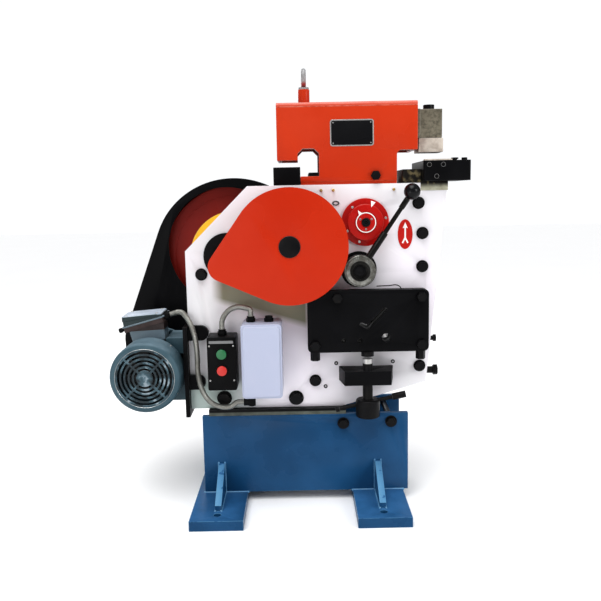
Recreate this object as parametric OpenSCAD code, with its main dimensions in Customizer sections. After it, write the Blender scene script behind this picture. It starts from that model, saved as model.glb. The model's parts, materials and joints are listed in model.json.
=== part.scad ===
// Combined punching, notching and section-shearing machine on a welded base.
// Lengths are millimetres. X runs to the right, Y to the back and Z up. The
// floor is at zero and the four anchor holes are centred on the origin.

/* [Base] */
// Length of the base side plates
base_len = 528; // [420:1:640]
// Height of the base side plates
base_h = 205; // [150:1:260]
// Thickness of the base side plates
base_t = 15; // [8:1:24]
// Middle of the base along X
base_x = 16; // [-10:1:40]
// Thickness of the foot plates
foot_t = 25; // [12:1:40]
// Width of each foot plate
foot_w = 130; // [90:1:160]
// Depth of the foot plates from front to back
foot_depth = 520; // [440:2:640]
// Spacing of the anchor holes along X
anchor_dx = 404; // [340:2:460]
// Inset of the anchor holes from the ends of the foot plates
anchor_inset = 35; // [25:1:60]
// Radius of the anchor holes
anchor_r = 9; // [6:0.5:12]
// Thickness of the gusset plates
gusset_t = 16; // [8:1:24]
// Height of the gusset plates above the feet
gusset_h = 79; // [50:1:120]
// Thickness of the bed plate under the frame
bed_t = 17; // [8:1:25]
// Length of the bed plate
bed_len = 352; // [300:1:380]

/* [Side plates] */
// Width of the side plates
plate_w = 654; // [640:1:690]
// Height of the side plates
plate_h = 565; // [555:1:600]
// Thickness of the side plates
plate_t = 25; // [16:1:30]
// Space between the side plates
plate_gap = 100; // [92:1:120]
// Left edge of the side plates
plate_x0 = -277; // [-290:1:-265]
// Radius of the frame bolts
bolt_r = 8; // [6:0.5:9]
// Radius of the two lower frame bolts
low_bolt_r = 10; // [8:0.5:11]

/* [Hood] */
// Length of the hood
hood_len = 346; // [335:1:360]
// Left end of the hood
hood_x0 = -41; // [-50:1:-30]
// Height of the hood
hood_h = 191; // [186:1:210]
// Height of the dark joint under the hood
hood_seam = 8; // [3:0.5:12]
// Width of the left throat
throat_w = 52; // [40:1:56]
// Top of the throats above the bottom of the hood
throat_h = 80; // [70:1:84]
// Depth of the right throat from the hood's end
right_throat_w = 51; // [40:1:60]
// Radius of the lifting post
post_r = 14.5; // [10:0.5:18]
// Height of the lifting post
post_h = 39; // [20:1:60]
// Outer radius of the lifting ring
eye_r = 23.5; // [18:0.5:28]
// Radius of the lifting ring's bar
eye_bar_r = 6; // [4:0.5:7]

/* [Gear drive] */
// Tooth module
gear_module = 4; // [3.9:0.05:4.05]
// Teeth on the large gear
gear_teeth = 64; // [62:1:64]
// Teeth on the pinion
pinion_teeth = 16; // [14:1:16]
// Face width of the gears
gear_face = 35; // [24:1:38]
// Crank centre along X
crank_x = -14; // [-18:1:-10]
// Depth of the crank centre under the top of the plates
crank_drop = 147; // [144:1:150]
// Angle of the pinion below the level line
pinion_angle = 15.5; // [12:0.5:18]
// Throw of the eccentric
throw = 8; // [5:0.5:8.5]
// Radius of the eccentric
eccentric_r = 38; // [34:0.5:39]
// Radius of the crank journals
crank_r = 25; // [20:0.5:26]
// Radius of the pinion shaft
pinion_shaft_r = 20; // [16:0.5:21]
// Depth of the gear cover from the plate
cover_depth = 75; // [70:1:85]
// Wall of the gear cover
cover_t = 3; // [2:0.5:4]
// Room between the gear teeth and the gear cover
cover_room = 7; // [5:0.5:9]

/* [Flywheel and belts] */
// Radius of the flywheel
flywheel_r = 180; // [170:1:184]
// Width of the flywheel rim
flywheel_w = 63; // [56:1:64]
// Front of the flywheel behind the rear plate
flywheel_back = 57; // [54:1:60]
// Radius of the flywheel's front hub plate
hub_plate_r = 121; // [90:1:130]
// Radius of the motor pulley
pulley_r = 47; // [40:1:52]
// Width of each belt at its top
belt_w = 13; // [11:0.5:14]
// Height of each belt
belt_h = 9; // [7:0.5:10]
// Depth of the belt guard
guard_depth = 110; // [108:1:116]
// Wall of the belt guard
guard_t = 3; // [2:0.5:4]
// Width of the guard's front rim
guard_rim = 18; // [12:1:19]

/* [Motor] */
// Motor axis along X
motor_x = -378; // [-382:1:-376]
// Motor axis above the floor
motor_z = 348; // [340:1:352]
// Radius of the motor's fan cowl
motor_r = 88; // [84:0.5:89]
// Front of the motor in front of the front plate
motor_reach = 75; // [70:1:85]
// Length of the finned housing
motor_body_len = 145; // [130:1:148]
// Number of cooling fins
fin_count = 30; // [20:2:36]
// Lean of the terminal box
box_lean = 15; // [10:1:20]
// Thickness of the motor plate
motor_plate_t = 11; // [8:1:14]
// Height of the motor plate
motor_plate_h = 234; // [220:1:240]
// Radius of the motor shaft
motor_shaft_r = 12; // [9:0.5:13]

/* [Section shear] */
// Width of the shear hold plate
hold_w = 299; // [290:1:304]
// Height of the shear hold plate
hold_h = 154; // [148:1:160]
// Thickness of the shear hold plate
hold_t = 30; // [20:1:32]
// Space between the hold plate and the front plate
hold_gap = 25; // [20:1:30]
// Width of the angle slot
angle_slot_w = 10; // [8:0.5:11]
// Radius of the large bar hole
bar_hole_r = 11; // [8:0.5:12]
// Radius of the small bar holes
small_hole_r = 6; // [5:0.5:7]
// Radius of the clamp screw
clamp_r = 12.5; // [10:0.5:14]
// Radius of the clamp hand wheel
clamp_wheel_r = 30; // [24:1:32]
// Length of the tommy bar
tommy_len = 180; // [120:1:190]

/* [Rocker] */
// Rocker pivot along X
pivot_x = 174; // [172:1:177]
// Depth of the rocker pivot under the top of the plates
pivot_drop = 94; // [92:1:96]
// Radius of the rocker pivot
pivot_r = 30; // [24:0.5:31]
// Thickness of the rocker
rocker_t = 60; // [50:1:62]
// Radius of the red pivot cap
pivot_cap_r = 59; // [54:0.5:60]

/* [Punch] */
// Length of the punch table
table_len = 116; // [112:1:124]
// Depth of the punch table
table_depth = 190; // [160:1:210]
// Height of the punch table
table_h = 49; // [40:1:50]
// Punch axis left of the table's right end
punch_back = 88; // [86:1:90]
// Width of the ram holder
ram_w = 61; // [54:1:62]
// Height of the ram holder
ram_h = 34; // [28:1:36]
// Height of the ram guide
ram_guide_h = 71; // [66:1:72]
// Radius of the punch hole in the die
die_hole_r = 11; // [6:0.5:12]

/* [Lever and controls] */
// Lever hub along X
lever_x = 157; // [155:1:159]
// Depth of the lever hub under the top of the plates
lever_drop = 211; // [209:1:213]
// Reach of the lever to its ball
lever_len = 229; // [200:1:235]
// Angle of the lever above the level line
lever_angle = 56; // [50:1:60]
// Radius of the lever's ball
ball_r = 20; // [15:0.5:22]
// Width of the starter box
starter_w = 99; // [90:1:104]
// Height of the starter box
starter_h = 184; // [170:1:190]
// Depth of the starter box
starter_d = 95; // [85:1:105]
// Width of the push-button box
buttons_w = 71; // [66:1:74]
// Height of the push-button box
buttons_h = 134; // [125:1:140]
// Depth of the push-button box
buttons_d = 65; // [55:1:70]
// Radius of the push buttons
button_r = 12.5; // [9:0.5:14]
// Outer radius of the metal conduits
hose_r = 7; // [6:0.25:7.5]

/* [Hidden] */
$fa = 4;
$fs = 0.8;
// Radial room of running fits, room between still pieces, overrun of cuts
fit = 0.05;
room = 0.4;
cut = 4;

// Levels and planes that the pieces share
base_top = foot_t + base_h;
plate_z0 = base_top + bed_t;
plate_top = plate_z0 + plate_h;
y_in = plate_gap / 2;
y_face = y_in + plate_t;
base_y = y_face + base_t;
anchor_y = foot_depth / 2 - anchor_inset;
gusset_toe = 20;
gusset_nose = 14;
bed_inset = 46;

// Side plate outline, bolt places and small sizes
step_drop = 19;
step_share = 1 - step_drop / plate_h;
plate_shares = [
    [0, 0], [0, 0.72], [0.2446, 1], [0.9006, 1],
    [0.9006, step_share], [1, step_share], [0.925, 0.108], [0.5948, 0]
];
bolt_shares = [
    [0.0596, 0.616], [0.4908, 0.122], [0.8991, 0.182],
    [0.893, 0.9133], [0.9083, 0.7805], [0.9083, 0.6336]
];
low_bolt_shares = [[0.1315, 0.0478], [0.4144, 0.0425]];
base_bolt_shares = [[0.685, 0.88], [0.917, 0.893]];
hole_room = 0.3;
spacer_wall = 9;
head_h_share = 1.25;
head_r_share = 1.55;
washer_h = 2;
washer_r_share = 1.9;
nut_h_share = 1.6;

// Hood sizes
hood_z0 = plate_top + hood_seam;
hood_z1 = hood_z0 + hood_h;
hood_x1 = hood_x0 + hood_len;
hood_top_t = 11;
hood_end_t = 10;
hood_end_lap = 3;
hood_round = 8;
seam_inset = 3;
overhang_h = 52;
throat_inset = 51;
throat_floor = 13;
throat_chamfer = 12;
right_throat_h = 73;
right_throat_r = 12;
throat_x0 = hood_x0 + throat_inset;
throat_x1 = throat_x0 + throat_w;
right_throat_x = hood_x1 - right_throat_w;
throat_lap = 6;
hood_bottom_x = throat_x0 + throat_lap;
hood_wall_top = hood_z1 - hood_top_t;
rail_t = 12;
rail_inset = 13;
rail_up = 50;
rail_down = 42;
hood_bolt_up = 12;
hood_bolt_share = 0.8;
post_x_share = 0.2;
post_x = hood_x0 + post_x_share * hood_len;
eye_collar_h = 5;
eye_collar_r = 13;
eye_shank_r = 6;
lip_w = 26;
lip_h = 9;

// Gear drive sizes
crank_at = [crank_x, plate_top - crank_drop];
gear_pitch_r = gear_module * gear_teeth / 2;
pinion_pitch_r = gear_module * pinion_teeth / 2;
centre_dist = gear_pitch_r + pinion_pitch_r;
pinion_at = crank_at - centre_dist * [cos(pinion_angle), sin(pinion_angle)];
pressure_angle = 20;
backlash = 0.5;
dedendum_share = 1.25;
gear_tip_r = gear_pitch_r + gear_module;
pinion_tip_r = pinion_pitch_r + gear_module;
flank_steps = 4;
gear_stand = 20;
gear_y1 = -(y_face + gear_stand);
gear_y0 = gear_y1 - gear_face;
cover_front = -(y_face + cover_depth);
cover_stand = 8;
cover_r = gear_tip_r + cover_room + cover_t;
cover_end_r = pinion_tip_r;
cover_end_out = 8;
cover_end_at = crank_at - (centre_dist + cover_end_out) * [cos(pinion_angle), sin(pinion_angle)];
cover_pad_r = 7;
cover_pad_h = 14;
cover_pad_angles = [-70, 45, 110];
shaft_end_r = 26;
shaft_end_proud = 2;
bush_wall = 7;
gear_web_t = 18;
gear_rim_t = 16;
gear_hub_r = 44;
gear_hole_r = 24;
gear_hole_count = 6;
eccentric_half = 34;
flange_r = 58;
flange_t = 8;
bearing_r = 36;

// Flywheel and belt sizes
flywheel_y0 = y_face + flywheel_back;
flywheel_y1 = flywheel_y0 + flywheel_w;
flywheel_web = 20;
flywheel_rim = 30;
flywheel_boss_r = 50;
hub_plate_t = 12;
hub_boss_r = 42;
hub_boss_t = 8;
belt_room = 0.6;
belt_at_shares = [0.42, 0.75];
belt_taper = 1.2;
pulley_margin = 6;
guard_stand = 30;
guard_y0 = y_face + guard_stand;
guard_y1 = guard_y0 + guard_depth;
guard_room = 23;
guard_r = flywheel_r + guard_room;
guard_low_r = 105;
guard_low_up = 47;
guard_low_at = [motor_x, motor_z + guard_low_up];
guard_post_r = 7;
guard_post_angles = [-75, -35, 5];
guard_axle_room = 6;
guard_lap = 0.5;
shaft_tail = 8;
pinion_shaft_end = flywheel_y1 + shaft_tail;

// Motor sizes
motor_at = [motor_x, motor_z];
motor_y0 = -(y_face + motor_reach);
cowl_len = 75;
cowl_t = 2.5;
cowl_round = 10;
motor_y1 = motor_y0 + cowl_len;
motor_y2 = motor_y1 + motor_body_len;
shield_len = 28;
motor_y3 = motor_y2 + shield_len;
core_r = 72;
fin_t = 3;
fin_top = 4;
foot_start = 40;
foot_half = 55;
foot_in = 42;
foot_out = 82;
foot_gap_angle = 62;
motor_foot_y = (motor_y1 + motor_y2) / 2;
grille_r = 68;
grille_hub_r = 16;
grille_slots = 5;
grille_bar_share = 0.45;
spoke_t = 5;
fan_r = 64;
fan_hub_r = 26;
fan_t = 22;
fan_blades = 8;
fan_blade_t = 3;
fan_back = 14;
fan_inset = 2;
shaft_step_r = 16;
box_w = 108;
box_len = 96;
box_h = 33;
box_lid_t = 8;
box_shift = 18;
box_up = 112;
box_y_share = 0.36;
box_r = 10;
box_rim = 2;
box_neck_w = 52;
box_gap_angle = 22;
box_y = motor_y1 + box_y_share * motor_body_len;
motor_plate_x1 = plate_x0;
motor_plate_x0 = motor_plate_x1 - motor_plate_t;
motor_plate_low = 117;
motor_plate_z0 = motor_z - motor_plate_low;
motor_plate_lap = 24;
motor_plate_y = y_face + motor_plate_lap;
lug_t = 11;
lug_up_at = 216;
lug_up_len = 52;
lug_up_h = 38;
lug_low_at = 88;
lug_low_len = 40;
lug_low_h = 38;

// Shear and clamp sizes
hold_left = 148;
hold_drop = 412;
hold_x0 = pivot_x - hold_left;
hold_z0 = plate_top - hold_drop;
hold_y1 = -(y_face + hold_gap);
hold_y0 = hold_y1 - hold_t;
hold_round = 12;
hold_bolt_inset = 18;
hold_bolt_shift = 56;
hold_relief = 4;
hold_bolt_r = 8;
hold_spacer_r = 14;
hold_nut_r = 12;
hold_nut_h = 22;
slot_tip_shares = [[0.445, 0.448], [0.498, 0.403], [0.639, 0.688]];
small_hole_shares = [[0.298, 0.19], [0.43, 0.18]];
bar_hole_share = [0.649, 0.227];
blade_share = [0.215, 0.78];
blade_rows = [0.075, 0.84];
moving_share = [0.18, 0.835];
moving_rows = [0.03, 0.86];
arm_share = [0.15, 0.865];
arm_rows = [-0.01, 0.94];
window_share = [0.245, 0.77];
window_rows = [0.09, 0.79];
clamp_x = pivot_x;
clamp_reach = 47;
clamp_y = -(y_face + clamp_reach);
clamp_bar_w = 138;
clamp_bar_h = 36;
clamp_bar_d = 62;
clamp_bar_drop = 84;
clamp_bar_z = hold_z0 - clamp_bar_drop;
clamp_bar_nose = 116;
clamp_cup_r = 16;
clamp_cup_h = 11;
clamp_pad_h = 12;
clamp_lift = 18;
clamp_tip_r = 8;
clamp_tip_h = 9;
clamp_pad_z = hold_z0 - clamp_lift - clamp_pad_h;
clamp_wheel_h = 46;
tommy_row_share = 0.8;
clamp_wheel_drop = 168;
clamp_wheel_z = hold_z0 - clamp_wheel_drop;
wheel_round = 5;
tommy_r = 5;
tommy_grip_r = 8.5;
tommy_grip_len = 34;
tommy_slant = 12;
tommy_shift = 7;
tommy_knob_r = 7;
tommy_knob_len = 10;

// Rocker sizes
pivot_at = [pivot_x, plate_top - pivot_drop];
rocker_y = rocker_t / 2;
rocker_hub_r = 62;
eye_room = 1;
rocker_eye_r = eccentric_r + 2 * throw + eye_room;
rocker_eye_wall = 24;
rocker_eye_at = crank_at - [0, throw];
neck_w = 68;
beam_h = 55;
beam_up = 105;
beam_inset = 16;
beam_short = 37;
beam_z0 = hood_z0 + beam_up;
beam_x0 = hood_x0 + beam_inset;
beam_x1 = hood_x1 - beam_short;
tongue_h = 12;
tongue_w = 20;
tongue_up = 20;
tongue_z = beam_z0 + tongue_up;
notch_blade_w = 34;
notch_blade_t = 40;
notch_blade_up = 5;
notch_blade_z = hood_z0 + overhang_h + notch_blade_up;
pivot_ring_r = 45;
pivot_cap_t = 25;
pivot_flange_t = 8;
pivot_dish_r = 44;
dial_r = 25;
dial_proud = 3;
dial_hole_r = 11;
dial_hole_deep = 6;

// Punch sizes
step_x = plate_x0 + plate_shares[3][0] * plate_w;
step_z = plate_z0 + plate_shares[4][1] * plate_h;
bolster_w = 68;
bolster_h = 23;
table_gap = 4;
table_x0 = step_x + table_gap;
table_z0 = step_z + bolster_h;
table_z1 = table_z0 + table_h;
stop_block_w = 45;
stop_block_h = 34;
stop_block_d = 110;
punch_x = table_x0 + table_len - punch_back;
die_r = 24;
die_h = 25;
slug_r = 15;
table_round = 6;
table_stop_r = 7;
table_stop_h = 6;
table_stop_back = 14;
table_stop_step = 26;
ram_gap = 23;
ram_d = 74;
ram_z0 = table_z1 + ram_gap;
ram_z1 = ram_z0 + ram_h;
guide_w = 56;
guide_d = 70;
guide_roof = 11;
guide_flange_d = 90;
guide_z0 = ram_z1 + room;
guide_z1 = guide_z0 + ram_guide_h;
stem_w = 34;
stem_top_room = 11;
slide_room = 0.1;
window_room = 4;
rocker_swing = 4.7;
tongue_play = 2;
tongue_drop = (punch_x - pivot_x) * sin(rocker_swing);
guide_bolt_r = 14;
guide_bolt_h = 13;

// Notching block and side adjusters
notch_block_out = 61;
notch_block_h = 44;
adjuster_rows = [0.128, 0.281];
adjuster_shares = [0.877, 0.886];
adjuster_w = 30;
adjuster_h = 25;
adjuster_bolt_r = [9, 6];
adjuster_out = [44, 34];

// Lever sizes
lever_at = [lever_x, plate_top - lever_drop];
lever_flange_r = 45;
lever_flange_t = 7;
lever_hub_r = 34;
lever_hub_len = 47;
lever_bore_r = 19;
lever_bore_deep = 10;
lever_shaft_r = 16;
lever_shaft_room = 4;
lever_back = 14;
lever_rod_r = 5.5;
lever_sleeve_r = 8.5;
lever_sleeve_share = 0.36;
lever_neck_r = 7;
lever_neck_share = 0.12;
lever_tip = 8;
lever_y = lever_back - y_face - lever_flange_t - room - lever_hub_len;

// Starter, button box, glands and conduits
starter_x = -87.5;
starter_up = 49;
starter_z = plate_z0 + starter_up;
starter_base_d = 68;
starter_r = 9;
starter_step = 5;
buttons_x = -187.5;
buttons_up = 65;
buttons_z = plate_z0 + buttons_up;
buttons_r = 4;
button_rim = 3.5;
button_rim_h = 4;
button_rows = [0.375, 0.685];
button_proud = 7;
button_travel = 4;
button_room = 0.3;
button_deep = 14;
gland_nut_r = 11.5;
gland_nut_h = 9;
gland_nose_r = 9.5;
gland_len = 14;
gland_bore_r = 5.5;
starter_gland_shares = [0.23, 0.68];
gland_out = 45;
gland_y = -y_face - gland_out;
button_gland_y = -y_face - buttons_d / 2;
box_gland_share = 0.27;
box_gland_y = box_y + (box_gland_share - 0.5) * box_len;
elbow_drop = 20;
elbow_len = 20;
elbow_share = 0.2;
hose_rib = 1.2;
hose_root_r = hose_r - hose_rib;
hose_bore_r = hose_root_r - hose_rib;
hose_pitch = 3.5;
hose_sides = 8;
hose_start = 2 * hose_r;
hose_end_ribs = ceil(hose_start / hose_pitch);

// Hand-picked conduit routes between the straight ends
motor_hose_route = [
    [-296, -58, 497], [-281, -84, 491], [-265, -98, 468], [-255, -104, 430],
    [-252.5, -104, 390], [-252.5, -104, 348], [-243.5, -104, 304], [-225, -107, 275],
    [-199, -111, 262], [-172, -117, 263]
];
button_hose_route = [
    [-181, -109, 494], [-166, -112, 510], [-147, -115, 517], [-127, -119, 515]
];

// Section and bar places on the shear
function hold_point(share) = [hold_x0 + share[0] * hold_w, hold_z0 + share[1] * hold_h];

// Frame bolt places
function plate_point(share) = [plate_x0 + share[0] * plate_w, plate_z0 + share[1] * plate_h];

// Tooth outline of one gear as points, with true involute flanks
function involute(angle) = tan(angle) * 180 / PI - angle;
function half_tooth(pitch_r, r) =
    let (base_r = pitch_r * cos(pressure_angle))
    (PI * gear_module - backlash) / (4 * pitch_r) * 180 / PI
        + involute(pressure_angle) - involute(acos(min(base_r / r, 1)));
function polar(r, angle) = r * [cos(angle), sin(angle)];
function gear_points(teeth) =
    let (
        pitch_r = gear_module * teeth / 2,
        root_r = pitch_r - dedendum_share * gear_module,
        low_r = max(root_r, pitch_r * cos(pressure_angle)),
        tip_r = pitch_r + gear_module,
        pitch = 360 / teeth
    )
    [
        for (i = [0 : teeth - 1])
        let (
            flank = [for (k = [0 : flank_steps]) low_r + (tip_r - low_r) * k / flank_steps],
            low = half_tooth(pitch_r, low_r),
            foot = root_r < low_r ? [root_r] : []
        )
        each concat(
            [for (r = foot) polar(r, i * pitch - low)],
            [for (r = flank) polar(r, i * pitch - half_tooth(pitch_r, r))],
            [for (k = [0 : flank_steps]) let (r = flank[flank_steps - k])
                polar(r, i * pitch + half_tooth(pitch_r, r))],
            [for (r = foot) polar(r, i * pitch + low)]
        )
    ];

// Solids drawn on the XZ plane and run along Y
module along_y(y0, y1) {
    translate([0, y1, 0])
        rotate([90, 0, 0])
            linear_extrude(y1 - y0)
                children();
}

module disc(at, r, y0, y1) {
    translate([at[0], y1, at[1]])
        rotate([90, 0, 0])
            cylinder(r = r, h = y1 - y0);
}

module ring(at, r, bore, y0, y1) {
    difference() {
        disc(at, r, y0, y1);
        disc(at, bore, y0 - cut, y1 + cut);
    }
}

// Turned solid: the profile holds radius and height, and height runs to the front
module turned(at, y) {
    translate([at[0], y, at[1]])
        rotate([90, 0, 0])
            rotate_extrude()
                children();
}

module block(x0, x1, y0, y1, z0, z1) {
    translate([x0, y0, z0])
        cube([x1 - x0, y1 - y0, z1 - z0]);
}

// Two circles and their outer tangents
module pear(at1, r1, at2, r2, lap = 0) {
    way = at2 - at1;
    gap = norm(way);
    turn = atan2(way[1], way[0]);
    open = acos((r1 - r2) / gap);
    translate(at1)
        circle(r1);
    translate(at2)
        circle(r2);
    polygon([
        at1 + polar(r1 - lap, turn - open), at2 + polar(r2 - lap, turn - open),
        at2 + polar(r2 - lap, turn + open), at1 + polar(r1 - lap, turn + open)
    ]);
}

// Rectangle with round corners, from its low corner
module soft_rect(w, h, r) {
    translate([r, 0])
        square([w - 2 * r, h]);
    translate([0, r])
        square([w, h - 2 * r]);
    for (x = [r, w - r])
        for (z = [r, h - r])
            translate([x, z])
                circle(r);
}

module hex(at, r, y0, y1) {
    translate([at[0], y1, at[1]])
        rotate([90, 0, 0])
            cylinder(r = r, h = y1 - y0, $fn = 6);
}

// Welded base

module base_side() {
    color("#295280")
        difference() {
            block(base_x - base_len / 2, base_x + base_len / 2, -base_y, -y_face, foot_t, base_top);
            for (share = base_bolt_shares)
                disc(base_point(share), bolt_r + hole_room, -base_y - cut, -y_face + cut);
        }
}

function base_point(share) = [
    base_x + (share[0] - 0.5) * base_len,
    foot_t + share[1] * base_h
];

module base_front_plate() {
    base_side();
}

module base_rear_plate() {
    mirror([0, 1, 0])
        base_side();
}

// Foot plate with a gusset welded on each side of the base
module foot(x) {
    color("#295280") {
        difference() {
            block(x - foot_w / 2, x + foot_w / 2, -foot_depth / 2, foot_depth / 2, 0, foot_t);
            for (side = [-1, 1])
                translate([x, side * anchor_y, -cut])
                    cylinder(r = anchor_r, h = foot_t + 2 * cut);
        }
        for (turn = [0, 180])
            translate([x, 0, 0])
                rotate([0, 0, turn])
                    gusset();
    }
}

module gusset() {
    toe = anchor_y - gusset_toe;
    translate([-gusset_t / 2, 0, 0])
        rotate([90, 0, 90])
            linear_extrude(gusset_t)
                polygon([
                    [base_y, foot_t], [base_y, foot_t + gusset_h],
                    [base_y + gusset_nose / 2, foot_t + gusset_h],
                    [toe, foot_t + gusset_nose], [toe, foot_t]
                ]);
}

module left_foot() {
    foot(-anchor_dx / 2);
}

module right_foot() {
    foot(anchor_dx / 2);
}

module bed_plate() {
    x0 = plate_x0 + bed_inset;
    color("#1b1c1f")
        block(x0, x0 + bed_len, -base_y, base_y, base_top, plate_z0);
}

// Side plates of the frame

module side_outline() {
    polygon([for (share = plate_shares) plate_point(share)]);
}

module bolt_holes(y0, y1) {
    for (share = bolt_shares)
        disc(plate_point(share), bolt_r + hole_room, y0, y1);
    for (share = low_bolt_shares)
        disc(plate_point(share), low_bolt_r + hole_room, y0, y1);
}

module bearing_holes(y0, y1) {
    disc(crank_at, crank_r + bush_wall + fit, y0, y1);
    disc(pinion_at, bearing_r + fit, y0, y1);
    disc(pivot_at, pivot_r + fit, y0, y1);
}

module blade_block(columns, rows, y0, y1) {
    low = hold_point([columns[0], rows[0]]);
    high = hold_point([columns[1], rows[1]]);
    block(low[0], high[0], y0, y1, low[1], high[1]);
}

module front_plate() {
    color("#f3eff8")
        difference() {
            along_y(-y_face, -y_in)
                side_outline();
            bolt_holes(-y_face - cut, -y_in + cut);
            bearing_holes(-y_face - cut, -y_in + cut);
            disc(lever_at, lever_shaft_r + fit, -y_face - cut, -y_in + cut);
            blade_block(blade_share, blade_rows, -y_face - cut, -y_in + cut);
        }
}

module rear_plate() {
    color("#f3eff8")
        difference() {
            along_y(y_in, y_face)
                side_outline();
            bolt_holes(y_in - cut, y_face + cut);
            bearing_holes(y_in - cut, y_face + cut);
            blade_block(blade_share, blade_rows, y_in - cut, y_face + cut);
        }
}

module frame_spacers() {
    color("#55585c")
        for (place = frame_bolts())
            ring(place[0], place[1] + spacer_wall, place[1] + hole_room, -y_in, y_in);
}

function frame_bolts() = concat(
    [for (share = bolt_shares) [plate_point(share), bolt_r]],
    [for (share = low_bolt_shares) [plate_point(share), low_bolt_r]]
);

// Hexagon bolt along Y with its washer and nut
module through_bolt(at, r, y0, y1) {
    disc(at, r * washer_r_share, y0 - washer_h, y0);
    hex(at, r * head_r_share, y0 - washer_h - r * head_h_share, y0 - washer_h);
    disc(at, r, y0 - washer_h, y1 + r * nut_h_share);
    hex(at, r * head_r_share, y1, y1 + r * nut_h_share);
}

module cap_bolt(at, r, y0, y1) {
    hex(at, r * head_r_share, y0 - r * head_h_share, y0);
    disc(at, r, y0 - r * head_h_share, y1);
}

module machine_bolts() {
    color("#141517") {
        for (place = frame_bolts())
            through_bolt(place[0], place[1], -y_face, y_face);
        for (share = base_bolt_shares)
            through_bolt(base_point(share), bolt_r, -base_y, base_y);
        for (side = [0, 1])
            mirror([0, side, 0])
                cap_bolt(hood_bolt_at(), bolt_r, -y_face, -y_in);
        translate([punch_x, 0, guide_z1])
            cylinder(r = guide_bolt_r, h = guide_bolt_h);
    }
}

// Hood over the rocker

function hood_bolt_at() = [
    hood_x0 + hood_bolt_share * (right_throat_x - hood_x0) + throat_lap,
    hood_z0 + hood_bolt_up
];

module hood_outline() {
    throat_top = hood_z0 + throat_h;
    throat_low = hood_z0 + throat_floor;
    right_top = hood_z0 + right_throat_h;
    difference() {
        polygon([
            [hood_bottom_x, hood_z0], [right_throat_x, hood_z0],
            [right_throat_x, right_top - right_throat_r],
            [right_throat_x + right_throat_r, right_top],
            [hood_x1, right_top], [hood_x1, hood_wall_top],
            [hood_x0, hood_wall_top], [hood_x0, hood_z0 + overhang_h],
            [throat_x0, hood_z0 + overhang_h],
            [throat_x0, throat_top - throat_chamfer],
            [throat_x0 + throat_chamfer, throat_top],
            [throat_x1 - throat_chamfer, throat_top],
            [throat_x1, throat_top - throat_chamfer],
            [throat_x1, throat_low], [hood_bottom_x, throat_low]
        ]);
        translate([right_throat_x + right_throat_r, right_top - right_throat_r])
            circle(right_throat_r);
    }
}

// Hood wall, its narrow foot on the side plate, and the rail that ties them
module hood_wall() {
    color("#e04a28")
        difference() {
            union() {
                along_y(-y_face, -y_in)
                    hood_outline();
                block(hood_bottom_x, right_throat_x, -y_face + seam_inset, -y_in, plate_top, hood_z0);
                block(
                    throat_x1 + rail_inset, right_throat_x - rail_inset,
                    -y_in, -y_in + rail_t,
                    plate_top - rail_down, hood_z0 + rail_up
                );
            }
            disc(hood_bolt_at(), bolt_r + hole_room, -y_face - cut, -y_in);
        }
}

module hood_front() {
    hood_wall();
}

module hood_rear() {
    mirror([0, 1, 0])
        hood_wall();
}

// Bent top sheet of the hood with its two end walls
module hood_top() {
    color("#e04a28") {
        translate([hood_x0, 0, 0])
            rotate([90, 0, 90])
                linear_extrude(hood_len)
                    hood_top_section();
        block(hood_x0, hood_x0 + hood_end_t, -y_in, y_in, hood_z0 + overhang_h, hood_wall_top + hood_end_lap);
        difference() {
            block(
                hood_x1 - hood_end_t, hood_x1, -y_in, y_in,
                hood_z0 + right_throat_h, hood_wall_top + hood_end_lap
            );
            tongue_window(hood_x1 - hood_end_t - cut, hood_x1 + cut);
        }
    }
}

module hood_top_section() {
    translate([-y_face, hood_wall_top])
        square([2 * y_face, hood_top_t - hood_round]);
    translate([-y_face + hood_round, hood_wall_top])
        square([2 * (y_face - hood_round), hood_top_t]);
    for (side = [-1, 1])
        intersection() {
            translate([side * (y_face - hood_round), hood_z1 - hood_round])
                circle(hood_round);
            translate([-y_face, hood_wall_top])
                square([2 * y_face, hood_top_t]);
        }
}

// Way for the rocker's tongue through the hood's end and the ram guide
module tongue_window(x0, x1) {
    half_w = tongue_w / 2 + window_room;
    block(
        x0, x1, -half_w, half_w,
        tongue_z - tongue_drop - window_room, tongue_z + tongue_h + window_room
    );
}

module lifting_post() {
    color("#d8431f")
        translate([post_x, 0, hood_z1])
            cylinder(r = post_r, h = post_h);
}

module lifting_eye() {
    z = hood_z1 + post_h;
    color("#8b8d8c")
        translate([post_x, 0, z]) {
            cylinder(r = eye_collar_r, h = eye_collar_h);
            cylinder(r = eye_shank_r, h = eye_collar_h + 2 * eye_bar_r);
            translate([0, 0, eye_collar_h + eye_r])
                rotate([0, 90, 0])
                    rotate_extrude()
                        translate([eye_r - eye_bar_r, 0])
                            circle(eye_bar_r);
        }
}

// Gear drive

module crank_gear() {
    root_r = gear_pitch_r - dedendum_share * gear_module;
    rim_r = root_r - gear_rim_t;
    side = (gear_face - gear_web_t) / 2;
    color("#6a6d70")
        difference() {
            along_y(gear_y0, gear_y1)
                translate(crank_at)
                    rotate(180 + pinion_angle)
                        polygon(gear_points(gear_teeth));
            disc(crank_at, crank_r + fit, gear_y0 - cut, gear_y1 + cut);
            ring(crank_at, rim_r, gear_hub_r, gear_y0 - cut, gear_y0 + side);
            ring(crank_at, rim_r, gear_hub_r, gear_y1 - side, gear_y1 + cut);
            for (i = [1 : gear_hole_count])
                disc(
                    crank_at + polar((rim_r + gear_hub_r) / 2, i * 360 / gear_hole_count),
                    gear_hole_r, gear_y0 - cut, gear_y1 + cut
                );
        }
}

module crank_shaft() {
    color("#1d1e20") {
        disc(crank_at, shaft_end_r, cover_front - shaft_end_proud, gear_y0);
        disc(crank_at, crank_r, gear_y0, y_face + shaft_tail);
        disc(rocker_eye_at, eccentric_r, -eccentric_half, eccentric_half);
    }
}

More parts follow.
